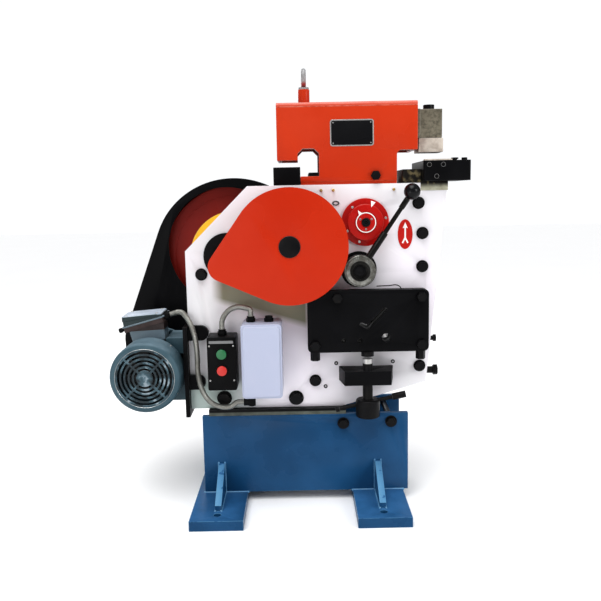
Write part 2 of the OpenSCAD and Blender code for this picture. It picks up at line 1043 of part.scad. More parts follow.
// Pinion cut in one piece with its shaft
module pinion_shaft() {
    color("#75787a") {
        along_y(gear_y0 - room, gear_y1 + room)
            translate(pinion_at)
                rotate(pinion_angle + 180 / pinion_teeth)
                    polygon(gear_points(pinion_teeth));
        disc(pinion_at, pinion_shaft_r, gear_y0 - shaft_tail, pinion_shaft_end);
    }
}

module cover_outline(inset) {
    pear(crank_at, cover_r - inset, cover_end_at, cover_end_r - inset);
}

// Pressed gear cover with three pads that stand on the front plate
module gear_cover() {
    back = -(y_face + cover_stand);
    color("#cd341a") {
        difference() {
            along_y(cover_front, back)
                cover_outline(0);
            along_y(cover_front + cover_t, back + cut)
                cover_outline(cover_t);
            disc(crank_at, shaft_end_r + fit + room, cover_front - cut, gear_y0);
        }
        for (angle = cover_pad_angles)
            disc(
                crank_at + polar(cover_r - cover_pad_r - cover_t / 2, angle),
                cover_pad_r, -y_face - cover_pad_h, -y_face
            );
    }
}

// Black flanged housings of the pinion shaft, and the lever's flange
module bearing_flanges() {
    color("#17181a") {
        for (side = [0, 1])
            mirror([0, side, 0])
                difference() {
                    union() {
                        disc(pinion_at, flange_r, -y_face - flange_t, -y_face);
                        disc(pinion_at, bearing_r, -y_face, -y_in);
                    }
                    disc(pinion_at, pinion_shaft_r + fit, -y_face - flange_t - cut, -y_in + cut);
                }
        ring(
            lever_at, lever_flange_r, lever_shaft_r + fit,
            -y_face - lever_flange_t, -y_face
        );
    }
}

module bronze_bushes() {
    color("#a9772f")
        for (side = [0, 1])
            mirror([0, side, 0]) {
                ring(crank_at, crank_r + bush_wall, crank_r + fit, -y_face, -y_in);
                ring(pivot_at, pivot_ring_r, pivot_r + fit, -y_in, -rocker_y - room);
            }
}

// Flywheel, belts and guard

function belt_y(share) = flywheel_y0 + share * flywheel_w;

// Groove for one belt in a rim of radius r
module belt_groove(r, at, y) {
    top = belt_w / 2 + belt_room;
    low = top - belt_taper;
    deep = r - belt_h - belt_room;
    turned(at, y)
        polygon([[deep, -low], [r + cut, -top], [r + cut, top], [deep, low]]);
}

module flywheel() {
    hollow = flywheel_y0 + flywheel_web;
    color("#731912")
        difference() {
            disc(pinion_at, flywheel_r, flywheel_y0, flywheel_y1);
            ring(pinion_at, flywheel_r - flywheel_rim, flywheel_boss_r, hollow, flywheel_y1 + cut);
            disc(pinion_at, pinion_shaft_r + fit, flywheel_y0 - cut, flywheel_y1 + cut);
            for (share = belt_at_shares)
                belt_groove(flywheel_r, pinion_at, belt_y(share));
        }
}

module flywheel_hub() {
    front = flywheel_y0 - hub_plate_t - hub_boss_t;
    color("#efb40c")
        difference() {
            union() {
                disc(pinion_at, hub_plate_r, flywheel_y0 - hub_plate_t, flywheel_y0);
                disc(pinion_at, hub_boss_r, front, flywheel_y0);
            }
            disc(pinion_at, pinion_shaft_r + fit, front - cut, flywheel_y0 + cut);
        }
}

module motor_pulley() {
    y0 = belt_y(belt_at_shares[0]) - belt_w / 2 - pulley_margin;
    y1 = belt_y(belt_at_shares[1]) + belt_w / 2 + pulley_margin;
    color("#3c3e41")
        difference() {
            disc(motor_at, pulley_r, y0, y1);
            disc(motor_at, motor_shaft_r + fit, y0 - cut, y1 + cut);
            for (share = belt_at_shares)
                belt_groove(pulley_r, motor_at, belt_y(share));
        }
}

// Two wedge belts, each a closed band around both wheels
module drive_belts() {
    low = belt_w / 2 - belt_taper;
    color("#111214")
        for (share = belt_at_shares)
            along_y(belt_y(share) - low, belt_y(share) + low)
                difference() {
                    pear(pinion_at, flywheel_r, motor_at, pulley_r);
                    pear(pinion_at, flywheel_r - belt_h, motor_at, pulley_r - belt_h);
                }
}

module guard_outline(inset) {
    pear(pinion_at, guard_r - inset, guard_low_at, guard_low_r - inset, guard_lap);
    half = guard_low_r - inset - guard_lap;
    translate(guard_low_at - [half, guard_low_up])
        square([2 * half, guard_low_up]);
    translate(motor_at)
        circle(guard_low_r - inset);
}

// Sheet guard, open in front of the flywheel, on three posts from the rear plate
module belt_guard() {
    color("#141517") {
        difference() {
            along_y(guard_y0, guard_y1)
                guard_outline(0);
            along_y(guard_y0 + guard_t, guard_y1 - guard_t)
                guard_outline(guard_t);
            disc(pinion_at, guard_r - guard_rim, guard_y0 - cut, guard_y0 + guard_t + cut);
            disc(motor_at, shaft_step_r + guard_axle_room, guard_y0 - cut, guard_y0 + guard_t + cut);
        }
        for (angle = guard_post_angles)
            disc(pinion_at + polar(guard_r - guard_rim / 2, angle), guard_post_r, y_face, guard_y0);
    }
}

// Motor on its upright plate

module motor_fin(angle) {
    reach = motor_r - fin_top;
    translate([motor_x, motor_y1, motor_z])
        rotate([0, -angle, 0])
            translate([core_r / 2, 0, -fin_t / 2])
                cube([reach - core_r / 2, motor_body_len + shield_len / 4, fin_t]);
}

// Fins leave room for the feet on the right and the terminal box on top
function fin_here(angle) =
    let (from_foot = abs((angle + 180) % 360 - 180), from_box = abs(angle - 90 - box_lean))
    from_foot > foot_gap_angle && from_box > box_gap_angle;

module motor_foot(side) {
    low = side > 0 ? foot_in : -foot_out;
    block(
        motor_x + foot_start, motor_plate_x0, motor_foot_y - foot_half, motor_foot_y + foot_half,
        motor_z + low, motor_z + low + foot_out - foot_in
    );
}

module motor_body() {
    color("#5c7c86")
        difference() {
            union() {
                disc(motor_at, core_r, motor_y1, motor_y2);
                disc(motor_at, motor_r, motor_y1, motor_y1 + fin_t);
                for (i = [0 : fin_count - 1])
                    if (fin_here(i * 360 / fin_count))
                        motor_fin(i * 360 / fin_count);
                for (side = [-1, 1])
                    motor_foot(side);
                disc(motor_at, motor_r - fin_top / 2, motor_y2, motor_y2 + shield_len / 2);
                disc(motor_at, core_r - fin_top, motor_y2, motor_y3);
            }
            disc(motor_at, motor_shaft_r + fit, motor_y1 - cut, motor_y3 + cut);
        }
}

module cowl_section(r, h) {
    square([r - cowl_round, h]);
    square([r, h - cowl_round]);
    translate([r - cowl_round, h - cowl_round])
        circle(cowl_round);
}

// Fan cowl with ring slots between four spokes
module fan_cowl() {
    pitch = (grille_r - grille_hub_r) / grille_slots;
    color("#5c7c86")
        difference() {
            turned(motor_at, motor_y1)
                intersection() {
                    cowl_section(motor_r, cowl_len);
                    square([motor_r, cowl_len]);
                }
            turned(motor_at, motor_y1)
                intersection() {
                    translate([0, -cut])
                        square([motor_r, cowl_len]);
                    union() {
                        cowl_section(motor_r - cowl_t, cowl_len - cowl_t);
                        translate([0, -cut])
                            square([motor_r - cowl_t, 2 * cut]);
                    }
                }
            for (k = [0 : grille_slots - 1])
                difference() {
                    ring(
                        motor_at, grille_hub_r + (k + 1) * pitch,
                        grille_hub_r + (k + grille_bar_share) * pitch,
                        motor_y0 - cut, motor_y0 + cowl_t + cut
                    );
                    for (turn = [45, 135])
                        translate([motor_x, motor_y0 + cowl_t, motor_z])
                            rotate([0, turn, 0])
                                cube([2 * motor_r, 4 * cut, spoke_t], center = true);
                }
        }
}

module cooling_fan() {
    y0 = motor_y1 - fan_back - fan_t;
    color("#24272a")
        difference() {
            union() {
                disc(motor_at, fan_hub_r, y0, y0 + fan_t);
                disc(motor_at, fan_r, y0 + fan_t - fan_blade_t, y0 + fan_t);
                for (i = [1 : fan_blades])
                    translate([motor_x, y0, motor_z])
                        rotate([0, i * 360 / fan_blades, 0])
                            translate([fan_hub_r / 2, 0, -fan_blade_t / 2])
                                cube([fan_r - fan_inset - fan_hub_r / 2, fan_t - fan_inset, fan_blade_t]);
            }
            disc(motor_at, motor_shaft_r + fit, y0 - cut, y0 + fan_t + cut);
        }
}

module rotor_shaft() {
    y1 = belt_y(belt_at_shares[1]) + belt_w / 2 + pulley_margin;
    color("#8d9093")
        disc(motor_at, motor_shaft_r, motor_y1 - fan_back - fan_t, y1);
}

// Places in the leaning frame of the terminal box
module leaning() {
    translate([motor_x, 0, motor_z])
        rotate([0, -box_lean, 0])
            children();
}

module terminal_box() {
    x0 = box_shift - box_w / 2;
    color("#5c7c86")
        leaning()
            difference() {
                union() {
                    translate([x0, box_y - box_len / 2, box_up])
                        linear_extrude(box_h)
                            soft_rect(box_w, box_len, box_r);
                    translate([x0 - box_rim, box_y - box_len / 2 - box_rim, box_up + box_h - box_lid_t])
                        linear_extrude(box_lid_t)
                            soft_rect(box_w + 2 * box_rim, box_len + 2 * box_rim, box_r + box_rim);
                    translate([-box_neck_w / 2, box_y - box_neck_w / 2, 0])
                        cube([box_neck_w, box_neck_w, box_up]);
                }
                rotate([90, 0, 0])
                    cylinder(r = core_r + fit, h = 2 * motor_body_len, center = true);
            }
}

// Upright motor plate with the two lugs that bolt it to the front plate
module motor_plate() {
    color("#161719") {
        block(
            motor_plate_x0, motor_plate_x1, -motor_plate_y, motor_plate_y,
            motor_plate_z0, motor_plate_z0 + motor_plate_h
        );
        motor_lug(lug_up_at, lug_up_len, lug_up_h);
        motor_lug(lug_low_at, lug_low_len, lug_low_h);
    }
}

module motor_lug(at, len, h) {
    z = motor_plate_z0 + at - h / 2;
    along_y(-y_face - lug_t, -y_face) {
        translate([motor_plate_x1, z])
            square([len - h / 2, h]);
        translate([motor_plate_x1 + len - h / 2, z + h / 2])
            circle(h / 2);
    }
}

// Section shear

module stretch(at1, at2, r) {
    pear(at1, r, at2, r);
}

module bar_openings(y0, y1) {
    tips = [for (share = slot_tip_shares) hold_point(share)];
    along_y(y0, y1) {
        stretch(tips[0], tips[1], angle_slot_w / 2);
        stretch(tips[1], tips[2], angle_slot_w / 2);
        for (share = small_hole_shares)
            translate(hold_point(share))
                circle(small_hole_r);
        translate(hold_point(bar_hole_share))
            circle(bar_hole_r);
    }
}

// Four bolts, the upper left one moved clear of the gear cover
function hold_bolts() =
    let (
        x0 = hold_x0 + hold_bolt_inset,
        x1 = hold_x0 + hold_w - hold_bolt_inset,
        z0 = hold_z0 + hold_bolt_inset,
        z1 = hold_z0 + hold_h - hold_bolt_inset
    )
    [[x0, z0], [x1, z0], [x1, z1], [x0 + hold_bolt_shift, z1]];

module shear_hold_plate() {
    color("#16171a")
        difference() {
            along_y(hold_y0, hold_y1)
                translate([hold_x0, hold_z0])
                    soft_rect(hold_w, hold_h, hold_round);
            bar_openings(hold_y0 - cut, hold_y1 + cut);
            disc(crank_at, cover_r + hold_relief, hold_y0 - cut, hold_y1 + cut);
            for (at = hold_bolts())
                disc(at, hold_bolt_r + hole_room, hold_y0 - cut, hold_y1 + cut);
        }
}

module fixed_blade() {
    color("#7d8083")
        difference() {
            blade_block(blade_share, blade_rows, -y_face, -y_in);
            bar_openings(-y_face - cut, -y_in + cut);
        }
}

// Spacers, bolts and bottom nuts that hold the shear's front plate
module shear_studs() {
    color("#1a1b1d") {
        for (at = hold_bolts()) {
            disc(at, hold_spacer_r, hold_y1, -y_face);
            cap_bolt(at, hold_bolt_r, hold_y0, hold_y1);
        }
        for (x = [hold_bolt_inset, hold_w - hold_bolt_inset])
            translate([hold_x0 + x, hold_y0 + hold_t / 2, hold_z0 - hold_nut_h])
                cylinder(r = hold_nut_r, h = hold_nut_h, $fn = 6);
        translate([clamp_x, clamp_y, hold_z0 - clamp_cup_h])
            cylinder(r = clamp_cup_r, h = clamp_cup_h);
    }
}

// Bracket of the clamp, narrower in front
module clamp_bar() {
    color("#16171a")
        difference() {
            translate([clamp_x, -y_face, clamp_bar_z])
                linear_extrude(clamp_bar_h)
                    polygon([
                        [-clamp_bar_w / 2, 0], [-clamp_bar_nose / 2, -clamp_bar_d],
                        [clamp_bar_nose / 2, -clamp_bar_d], [clamp_bar_w / 2, 0]
                    ]);
            translate([clamp_x, clamp_y, clamp_bar_z - cut])
                cylinder(r = clamp_r + fit, h = clamp_bar_h + 2 * cut);
        }
}

// Thrust pad on the tip of the clamp screw
module clamp_pad() {
    color("#4c4f53")
        translate([clamp_x, clamp_y, clamp_pad_z])
            difference() {
                cylinder(r = clamp_r, h = clamp_pad_h);
                translate([0, 0, -cut])
                    cylinder(r = clamp_tip_r + fit, h = clamp_tip_h + cut);
            }
}

module clamp_screw() {
    wheel_top = clamp_wheel_z + clamp_wheel_h;
    color("#1b1c1e")
        difference() {
            translate([clamp_x, clamp_y, 0]) {
                translate([0, 0, clamp_wheel_z])
                    rotate_extrude()
                        wheel_section();
                translate([0, 0, wheel_top])
                    cylinder(r = clamp_r, h = clamp_pad_z - room - wheel_top);
                translate([0, 0, clamp_pad_z - room])
                    cylinder(r = clamp_tip_r, h = clamp_tip_h);
            }
            tommy_place()
                cylinder(r = tommy_r + fit, h = 2 * tommy_len, center = true);
        }
}

module wheel_section() {
    square([clamp_wheel_r - wheel_round, clamp_wheel_h]);
    translate([0, wheel_round])
        square([clamp_wheel_r, clamp_wheel_h - 2 * wheel_round]);
    for (z = [wheel_round, clamp_wheel_h - wheel_round])
        translate([clamp_wheel_r - wheel_round, z])
            circle(wheel_round);
}

module tommy_place() {
    translate([clamp_x, clamp_y, clamp_wheel_z + tommy_row_share * clamp_wheel_h])
        rotate([0, 90 - tommy_slant, 0])
            children();
}

module tommy_bar() {
    low = tommy_shift - tommy_len / 2;
    color("#8b8e90")
        tommy_place() {
            translate([0, 0, low])
                cylinder(r = tommy_r, h = tommy_len);
            translate([0, 0, low])
                cylinder(r = tommy_knob_r, h = tommy_knob_len);
            translate([0, 0, low + tommy_len - tommy_grip_len])
                cylinder(r = tommy_grip_r, h = tommy_grip_len);
        }
}

// Rocker and its tools

module rocker_outline() {
    arm_low = hold_point([arm_share[0], arm_rows[0]]);
    arm_high = hold_point([arm_share[1], arm_rows[1]]);
    shoulder = (arm_high[0] - arm_low[0]) / 2 - rocker_hub_r / 2;
    pear(rocker_eye_at, rocker_eye_r + rocker_eye_wall, pivot_at, rocker_hub_r);
    translate([pivot_x - neck_w / 2, pivot_at[1]])
        square([neck_w, beam_z0 + beam_h - pivot_at[1]]);
    translate([beam_x0, beam_z0])
        square([beam_x1 - beam_x0, beam_h]);
    polygon([
        pivot_at - [rocker_hub_r, 0], pivot_at + [rocker_hub_r, 0],
        [pivot_x + shoulder, arm_high[1]], [pivot_x - shoulder, arm_high[1]]
    ]);
    translate(arm_low)
        square(arm_high - arm_low);
}

// Cross-shaped rocker: eye for the eccentric, neck to the top beam, shear arm
module rocker() {
    color("#3a3c3f") {
        difference() {
            along_y(-rocker_y, rocker_y)
                rocker_outline();
            disc(rocker_eye_at, rocker_eye_r, -rocker_y - cut, rocker_y + cut);
            disc(pivot_at, pivot_r + fit, -rocker_y - cut, rocker_y + cut);
            blade_block(window_share, window_rows, -rocker_y - cut, rocker_y + cut);
        }
        block(
            beam_x1, punch_x - stem_w / 4, -tongue_w / 2, tongue_w / 2,
            tongue_z, tongue_z + tongue_h
        );
    }
}

module rocker_blades() {
    color("#84878a") {
        difference() {
            blade_block(moving_share, moving_rows, -y_in + room, -rocker_y);
            bar_openings(-y_in - cut, -rocker_y + cut);
        }
        block(
            beam_x0, beam_x0 + notch_blade_w, -notch_blade_t / 2, notch_blade_t / 2,
            notch_blade_z, beam_z0
        );
    }
}

module pivot_shaft() {
    color("#6f7275")
        disc(pivot_at, pivot_r, -y_face, y_face);
}

module indicator_disc() {
    y0 = -y_face - pivot_cap_t - dial_proud;
    color("#ece9e4")
        difference() {
            disc(pivot_at, dial_r, y0, -y_face);
            disc(pivot_at, dial_hole_r, y0 - cut, y0 + dial_hole_deep);
        }
}

// Dished red cap around the indicator
module pivot_cap() {
    color("#c4150f")
        turned(pivot_at, -y_face)
            difference() {
                union() {
                    square([pivot_cap_r, pivot_flange_t]);
                    square([pivot_dish_r, pivot_cap_t]);
                }
                translate([0, -cut])
                    square([dial_r + room, pivot_cap_t + 2 * cut]);
            }
}

// Notching station

module notch_block() {
    x0 = throat_x0 - notch_block_out;
    color("#17181a") {
        block(x0, hood_bottom_x - room, -y_face, y_face, plate_top, plate_top + notch_block_h);
        block(
            throat_x1 - lip_w, throat_x1, -y_face, y_face,
            hood_z0 + throat_floor, hood_z0 + throat_floor + lip_h
        );
    }
}

// Punching station

module bolster() {
    color("#9b968a")
        difference() {
            union() {
                block(step_x, step_x + bolster_w, -y_face, y_face, step_z, table_z0);
                block(
                    table_x0 - stop_block_w, table_x0, -stop_block_d / 2, stop_block_d / 2,
                    plate_top, plate_top + stop_block_h
                );
            }
            translate([punch_x, 0, step_z - cut])
                cylinder(r = slug_r, h = bolster_h + 2 * cut);
        }
}

module punch_table() {
    x1 = table_x0 + table_len;
    table_stop_y = table_stop_back - table_depth / 2;
    color("#16171a") {
        difference() {
            translate([table_x0, -table_depth / 2, table_z0])
                linear_extrude(table_h)
                    soft_rect(table_len, table_depth, table_round);
            translate([punch_x, 0, table_z0 - cut])
                cylinder(r = slug_r, h = table_h);
            translate([punch_x, 0, table_z1 - die_h])
                cylinder(r = die_r + fit, h = die_h + cut);
        }
        for (k = [0, 1])
            translate([x1 - table_stop_back - k * table_stop_step, table_stop_y, table_z1])
                cylinder(r = table_stop_r, h = table_stop_h);
    }
}

module punch_die() {
    color("#8f9294")
        translate([punch_x, 0, table_z1 - die_h])
            difference() {
                cylinder(r = die_r, h = die_h);
                translate([0, 0, -cut])
                    cylinder(r = die_hole_r, h = die_h + 2 * cut);
            }
}

module ram_guide() {
    half = stem_w / 2 + slide_room;
    color("#4a4843")
        difference() {
            union() {
                block(
                    punch_x - guide_w / 2, punch_x + guide_w / 2, -guide_d / 2, guide_d / 2,
                    guide_z0, guide_z1
                );
                block(
                    hood_x1, punch_x - guide_w / 2, -guide_flange_d / 2, guide_flange_d / 2,
                    guide_z0, guide_z1
                );
            }
            block(punch_x - half, punch_x + half, -half, half, guide_z0 - cut, guide_z1 - guide_roof);
            tongue_window(hood_x1 - cut, punch_x);
        }
}

// Punch holder with the forked stem that the rocker's tongue drives
module ram() {
    stem_top = guide_z1 - guide_roof - stem_top_room;
    color("#b3b1aa")
        difference() {
            union() {
                block(punch_x - ram_w / 2, punch_x + ram_w / 2, -ram_d / 2, ram_d / 2, ram_z0, ram_z1);
                block(
                    punch_x - stem_w / 2, punch_x + stem_w / 2, -stem_w / 2, stem_w / 2,
                    ram_z1, stem_top
                );
            }
            block(
                punch_x - stem_w, punch_x + stem_w, -tongue_w / 2 - slide_room, tongue_w / 2 + slide_room,
                tongue_z - tongue_play, tongue_z + tongue_h + tongue_play
            );
        }
}

// Lever

module lever_place() {
    translate([lever_at[0], lever_y, lever_at[1]])
        rotate([0, 90 - lever_angle, 0])
            children();
}

module lever_arm() {
    y1 = -y_face - lever_flange_t - room;
    y0 = y1 - lever_hub_len;
    color("#a3a39f") {
        difference() {
            disc(lever_at, lever_hub_r, y0, y1);
            disc(lever_at, lever_bore_r, y0 - cut, y0 + lever_bore_deep);
        }
        disc(lever_at, lever_shaft_r, y1, -y_in + lever_shaft_room);
        lever_place() {
            translate([0, 0, lever_hub_r - lever_rod_r])
                cylinder(r = lever_sleeve_r, h = lever_sleeve_share * lever_len);
            translate([0, 0, lever_hub_r - lever_rod_r])
                cylinder(r = lever_rod_r, h = lever_len - lever_hub_r - lever_tip + lever_rod_r);
            translate([0, 0, lever_len - ball_r - lever_neck_share * lever_len])
                cylinder(r = lever_neck_r, h = lever_neck_share * lever_len);
        }
    }
}

module lever_knob() {
    color("#101113")
        lever_place()
            difference() {
                translate([0, 0, lever_len])
                    sphere(ball_r);
                translate([0, 0, lever_len - ball_r - lever_neck_share * lever_len])
                    cylinder(r = lever_neck_r + fit, h = lever_neck_share * lever_len + fit);
                translate([0, 0, lever_hub_r])
                    cylinder(r = lever_rod_r + fit, h = lever_len - lever_hub_r - lever_tip + fit);
            }
}

// Starter and push buttons

module case_block(x, z, w, h, r, y0, y1) {
    along_y(y0, y1)
        translate([x - w / 2, z])
            soft_rect(w, h, r);
}

module starter_box() {
    color("#c9c9e2")
        difference() {
            case_block(
                starter_x, starter_z, starter_w, starter_h, starter_r,
                -y_face - starter_base_d, -y_face
            );
            translate([starter_gland_x(1), gland_y, starter_z + starter_h - gland_len])
                cylinder(r = gland_bore_r, h = gland_len + cut);
        }
}

module starter_lid() {
    color("#d2d2ea") {
        case_block(
            starter_x, starter_z, starter_w, starter_h, starter_r,
            -y_face - starter_d + starter_step, -y_face - starter_base_d
        );
        case_block(
            starter_x, starter_z + starter_step, starter_w - 2 * starter_step,
            starter_h - 2 * starter_step, starter_r, -y_face - starter_d, -y_face - starter_d + starter_step
        );
    }
}

function starter_gland_x(k) = starter_x + (starter_gland_shares[k] - 0.5) * starter_w;
function button_at(k) = [buttons_x, buttons_z + button_rows[k] * buttons_h];

module button_box() {
    y0 = -y_face - buttons_d;
    color("#141518")
        difference() {
            union() {
                case_block(buttons_x, buttons_z, buttons_w, buttons_h, buttons_r, y0, -y_face);
                for (k = [0, 1])
                    disc(button_at(k), button_r + button_rim, y0 - button_rim_h, y0);
            }
            for (k = [0, 1])
                disc(button_at(k), button_r + button_room, y0 - button_rim_h - cut, y0 + button_deep);
        }
}

module push_button(k) {
    y0 = -y_face - buttons_d - button_proud;
    disc(button_at(k), button_r, y0, y0 + button_proud + button_deep - button_travel - room);
}

module start_button() {
    color("#1c8a3c")
        push_button(1);
}

module stop_button() {
    color("#c21d1d")
        push_button(0);
}

// Cable glands and ribbed conduits

// Gland along Z, with the mouth up
module gland(bore) {
    difference() {
        union() {
            cylinder(r = gland_nut_r, h = gland_nut_h, $fn = 6);
            cylinder(r = gland_nose_r, h = gland_len);
        }
        translate([0, 0, -cut])
            cylinder(r = bore, h = gland_len + 2 * cut);
    }
}

module box_gland_place() {
    leaning()
        translate([box_shift + box_w / 2, box_gland_y, box_up + (box_h - box_lid_t) / 2])
            rotate([0, 90, 0])
                children();
}

// Bottom elbow of the starter, with its mouth to the left
module elbow() {
    translate([starter_x + (elbow_share - 0.5) * starter_w, gland_y, starter_z]) {
        translate([0, 0, -elbow_drop - gland_nose_r])
            cylinder(r = gland_nose_r, h = elbow_drop + gland_nose_r);
        translate([0, 0, -elbow_drop])
            rotate([0, -90, 0])
                cylinder(r = gland_nose_r, h = elbow_len);
    }
}

module cable_glands() {
    color("#151618") {
        for (k = [0, 1])
            translate([starter_gland_x(k), gland_y, starter_z + starter_h])
                gland(gland_bore_r);
        translate([buttons_x, button_gland_y, buttons_z + buttons_h])
            gland(gland_bore_r);
        box_gland_place()
            gland(gland_bore_r);
        elbow();
    }
}

function unit(v) = v / norm(v);
function lean_point(p) = [
    motor_x + p[0] * cos(box_lean) - p[2] * sin(box_lean),
    p[1],
    motor_z + p[0] * sin(box_lean) + p[2] * cos(box_lean)
];
function spline(a, b, c, d, t) =
    (2 * b + (c - a) * t + (2 * a - 5 * b + 4 * c - d) * t * t + (3 * b - a - 3 * c + d) * t * t * t) / 2;

// Middle line at every half rib, straight where the hose leaves each mouth
function hose_line(mouth1, way1, mouth2, way2, route) =
    let (
        knots = concat([mouth1 + hose_start * way1], route, [mouth2 + hose_start * way2]),
        n = len(knots),
        before = knots[1] - 2 * norm(knots[1] - knots[0]) * way1,
        after = knots[n - 2] - 2 * norm(knots[n - 2] - knots[n - 1]) * way2,
        all = concat([before], knots, [after]),
        half = 2 * hose_end_ribs
    )
    concat(
        [for (j = [0 : half - 1]) mouth1 + hose_start * j / half * way1],
        [
            for (i = [1 : n - 1])
            let (steps = 2 * ceil(norm(all[i + 1] - all[i]) / hose_pitch))
            for (j = [0 : steps - 1])
            spline(all[i - 1], all[i], all[i + 1], all[i + 2], j / steps)
        ],
        [for (j = [0 : half]) mouth2 + hose_start * (1 - j / half) * way2]
    );

function hose_ring(line, i, r) =
    let (
        ahead = unit(line[min(i + 1, len(line) - 1)] - line[max(i - 1, 0)]),
        side = unit(cross(ahead, [0, 1, 0])),
        up = cross(ahead, side)
    )
    [
        for (k = [0 : hose_sides - 1])
        let (angle = k * 360 / hose_sides)
        line[i] + r * (cos(angle) * side + sin(angle) * up)
    ];

// Four-cornered patch between two rings as two triangles
function patch(a, b, k) =
    let (k2 = (k + 1) % hose_sides)
    [[a + k, b + k2, a + k2], [a + k, b + k, b + k2]];

// Ribbed metal hose with an open bore
module ribbed_hose(line) {
    n = len(line);
    inner = [for (i = [0 : 2 : n - 1]) i];
    start = n * hose_sides;
    last = start + (len(inner) - 1) * hose_sides;
    sides = [0 : hose_sides - 1];
    color("#94948c")
        polyhedron(
            points = concat(
                [for (i = [0 : n - 1]) each hose_ring(line, i, i % 2 == 0 ? hose_root_r : hose_r)],
                [for (i = inner) each hose_ring(line, i, hose_bore_r)]
            ),
            faces = concat(
                [for (i = [0 : n - 2]) for (k = sides) each patch(i * hose_sides, (i + 1) * hose_sides, k)],
                [for (m = [0 : len(inner) - 2]) for (k = sides)
                    each patch(start + (m + 1) * hose_sides, start + m * hose_sides, k)],
                [for (k = sides) each patch(start, 0, k)],
                [for (k = sides) each patch((n - 1) * hose_sides, last, k)]
            )
        );
}

module conduit_motor() {
    mouth = lean_point([box_shift + box_w / 2 + gland_len, box_gland_y, box_up + (box_h - box_lid_t) / 2]);
    elbow_mouth = [
        starter_x + (elbow_share - 0.5) * starter_w - elbow_len, gland_y, starter_z - elbow_drop
    ];
    ribbed_hose(hose_line(
        mouth, [cos(box_lean), 0, sin(box_lean)], elbow_mouth, [-1, 0, 0], motor_hose_route
    ));
}

module conduit_buttons() {
    ribbed_hose(hose_line(
        [buttons_x, button_gland_y, buttons_z + buttons_h + gland_len], [0, 0, 1],
        [starter_gland_x(0), gland_y, starter_z + starter_h + gland_len], [0, 0, 1],
        button_hose_route
    ));
}

// Adjusting bolts of the rocker's lower stop, in blocks between the plates
module side_adjusters() {
    color("#1c1d20")
        for (k = [0, 1]) {
            at = plate_point([adjuster_shares[k], adjuster_rows[k]]);
            r = adjuster_bolt_r[k];
            block(
                at[0], at[0] + adjuster_w, -y_in, y_in,
                at[1] - adjuster_h / 2, at[1] + adjuster_h / 2
            );
            translate([at[0] + adjuster_w, 0, at[1]])
                rotate([0, 90, 0]) {
                    cylinder(r = r, h = adjuster_out[k]);
                    cylinder(r = r * head_r_share, h = r * head_h_share, $fn = 6);
                    translate([0, 0, adjuster_out[k] - r * head_h_share])
                        cylinder(r = r * head_r_share, h = r * head_h_share, $fn = 6);
                }
        }
}

base_front_plate();
base_rear_plate();
left_foot();
right_foot();
bed_plate();
front_plate();
rear_plate();
frame_spacers();
machine_bolts();
hood_front();
hood_rear();
hood_top();
lifting_post();
lifting_eye();
crank_gear();
crank_shaft();
pinion_shaft();
gear_cover();
bearing_flanges();
bronze_bushes();
flywheel();
flywheel_hub();
motor_pulley();
drive_belts();
belt_guard();
motor_body();
fan_cowl();
cooling_fan();
rotor_shaft();
terminal_box();
motor_plate();
shear_hold_plate();
fixed_blade();
shear_studs();
clamp_bar();
clamp_pad();
clamp_screw();
tommy_bar();
rocker();
rocker_blades();
pivot_shaft();
indicator_disc();
pivot_cap();
notch_block();
bolster();
punch_table();
punch_die();
ram_guide();
ram();
lever_arm();
lever_knob();
starter_box();
starter_lid();
button_box();
start_button();
stop_button();
cable_glands();
conduit_motor();
conduit_buttons();
side_adjusters();
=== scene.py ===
import json
import math
import bmesh
import bpy
from mathutils import Matrix, Vector

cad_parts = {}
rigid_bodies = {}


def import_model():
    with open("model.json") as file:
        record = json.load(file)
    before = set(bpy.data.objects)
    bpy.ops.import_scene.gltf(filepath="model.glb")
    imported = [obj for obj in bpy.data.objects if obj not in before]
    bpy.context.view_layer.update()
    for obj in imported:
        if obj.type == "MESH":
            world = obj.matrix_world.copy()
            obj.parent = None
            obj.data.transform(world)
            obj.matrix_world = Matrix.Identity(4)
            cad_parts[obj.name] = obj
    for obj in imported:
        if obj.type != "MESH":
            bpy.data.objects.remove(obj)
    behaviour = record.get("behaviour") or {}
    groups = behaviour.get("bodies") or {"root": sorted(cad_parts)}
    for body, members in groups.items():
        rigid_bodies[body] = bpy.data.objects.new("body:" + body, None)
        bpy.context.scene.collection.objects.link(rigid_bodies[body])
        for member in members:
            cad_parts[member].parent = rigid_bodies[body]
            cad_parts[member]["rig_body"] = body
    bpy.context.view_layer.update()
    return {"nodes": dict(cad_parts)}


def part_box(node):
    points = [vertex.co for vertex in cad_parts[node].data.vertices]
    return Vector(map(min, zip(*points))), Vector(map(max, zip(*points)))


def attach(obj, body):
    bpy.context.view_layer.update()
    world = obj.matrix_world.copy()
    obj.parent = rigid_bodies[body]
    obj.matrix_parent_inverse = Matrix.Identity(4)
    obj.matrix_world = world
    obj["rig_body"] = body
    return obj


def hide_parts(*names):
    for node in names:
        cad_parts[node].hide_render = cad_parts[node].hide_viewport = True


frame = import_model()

# Studio around the machine: a wide pale floor, a white room and soft lamps.
# The camera stands straight in front, a little above the middle, and looks slightly down.
mm = 0.001
scene = bpy.context.scene
scene.view_settings.view_transform = "Standard"
scene.view_settings.gamma = 0.9
picture_px = 601
lens_px = 720
sensor = 36
camera_at = Vector((9.8, -1875, 793)) * mm
camera_tilt = math.radians(81.5)
camera_roll = -0.02
camera_data = bpy.data.cameras.new("camera")
camera_data.sensor_width = sensor
camera_data.lens = sensor * lens_px / picture_px
camera = bpy.data.objects.new("camera", camera_data)
camera.matrix_world = (
    Matrix.Translation(camera_at)
    @ Matrix.Rotation(camera_tilt, 4, "X")
    @ Matrix.Rotation(camera_roll, 4, "Z")
)
scene.collection.objects.link(camera)
scene.camera = camera


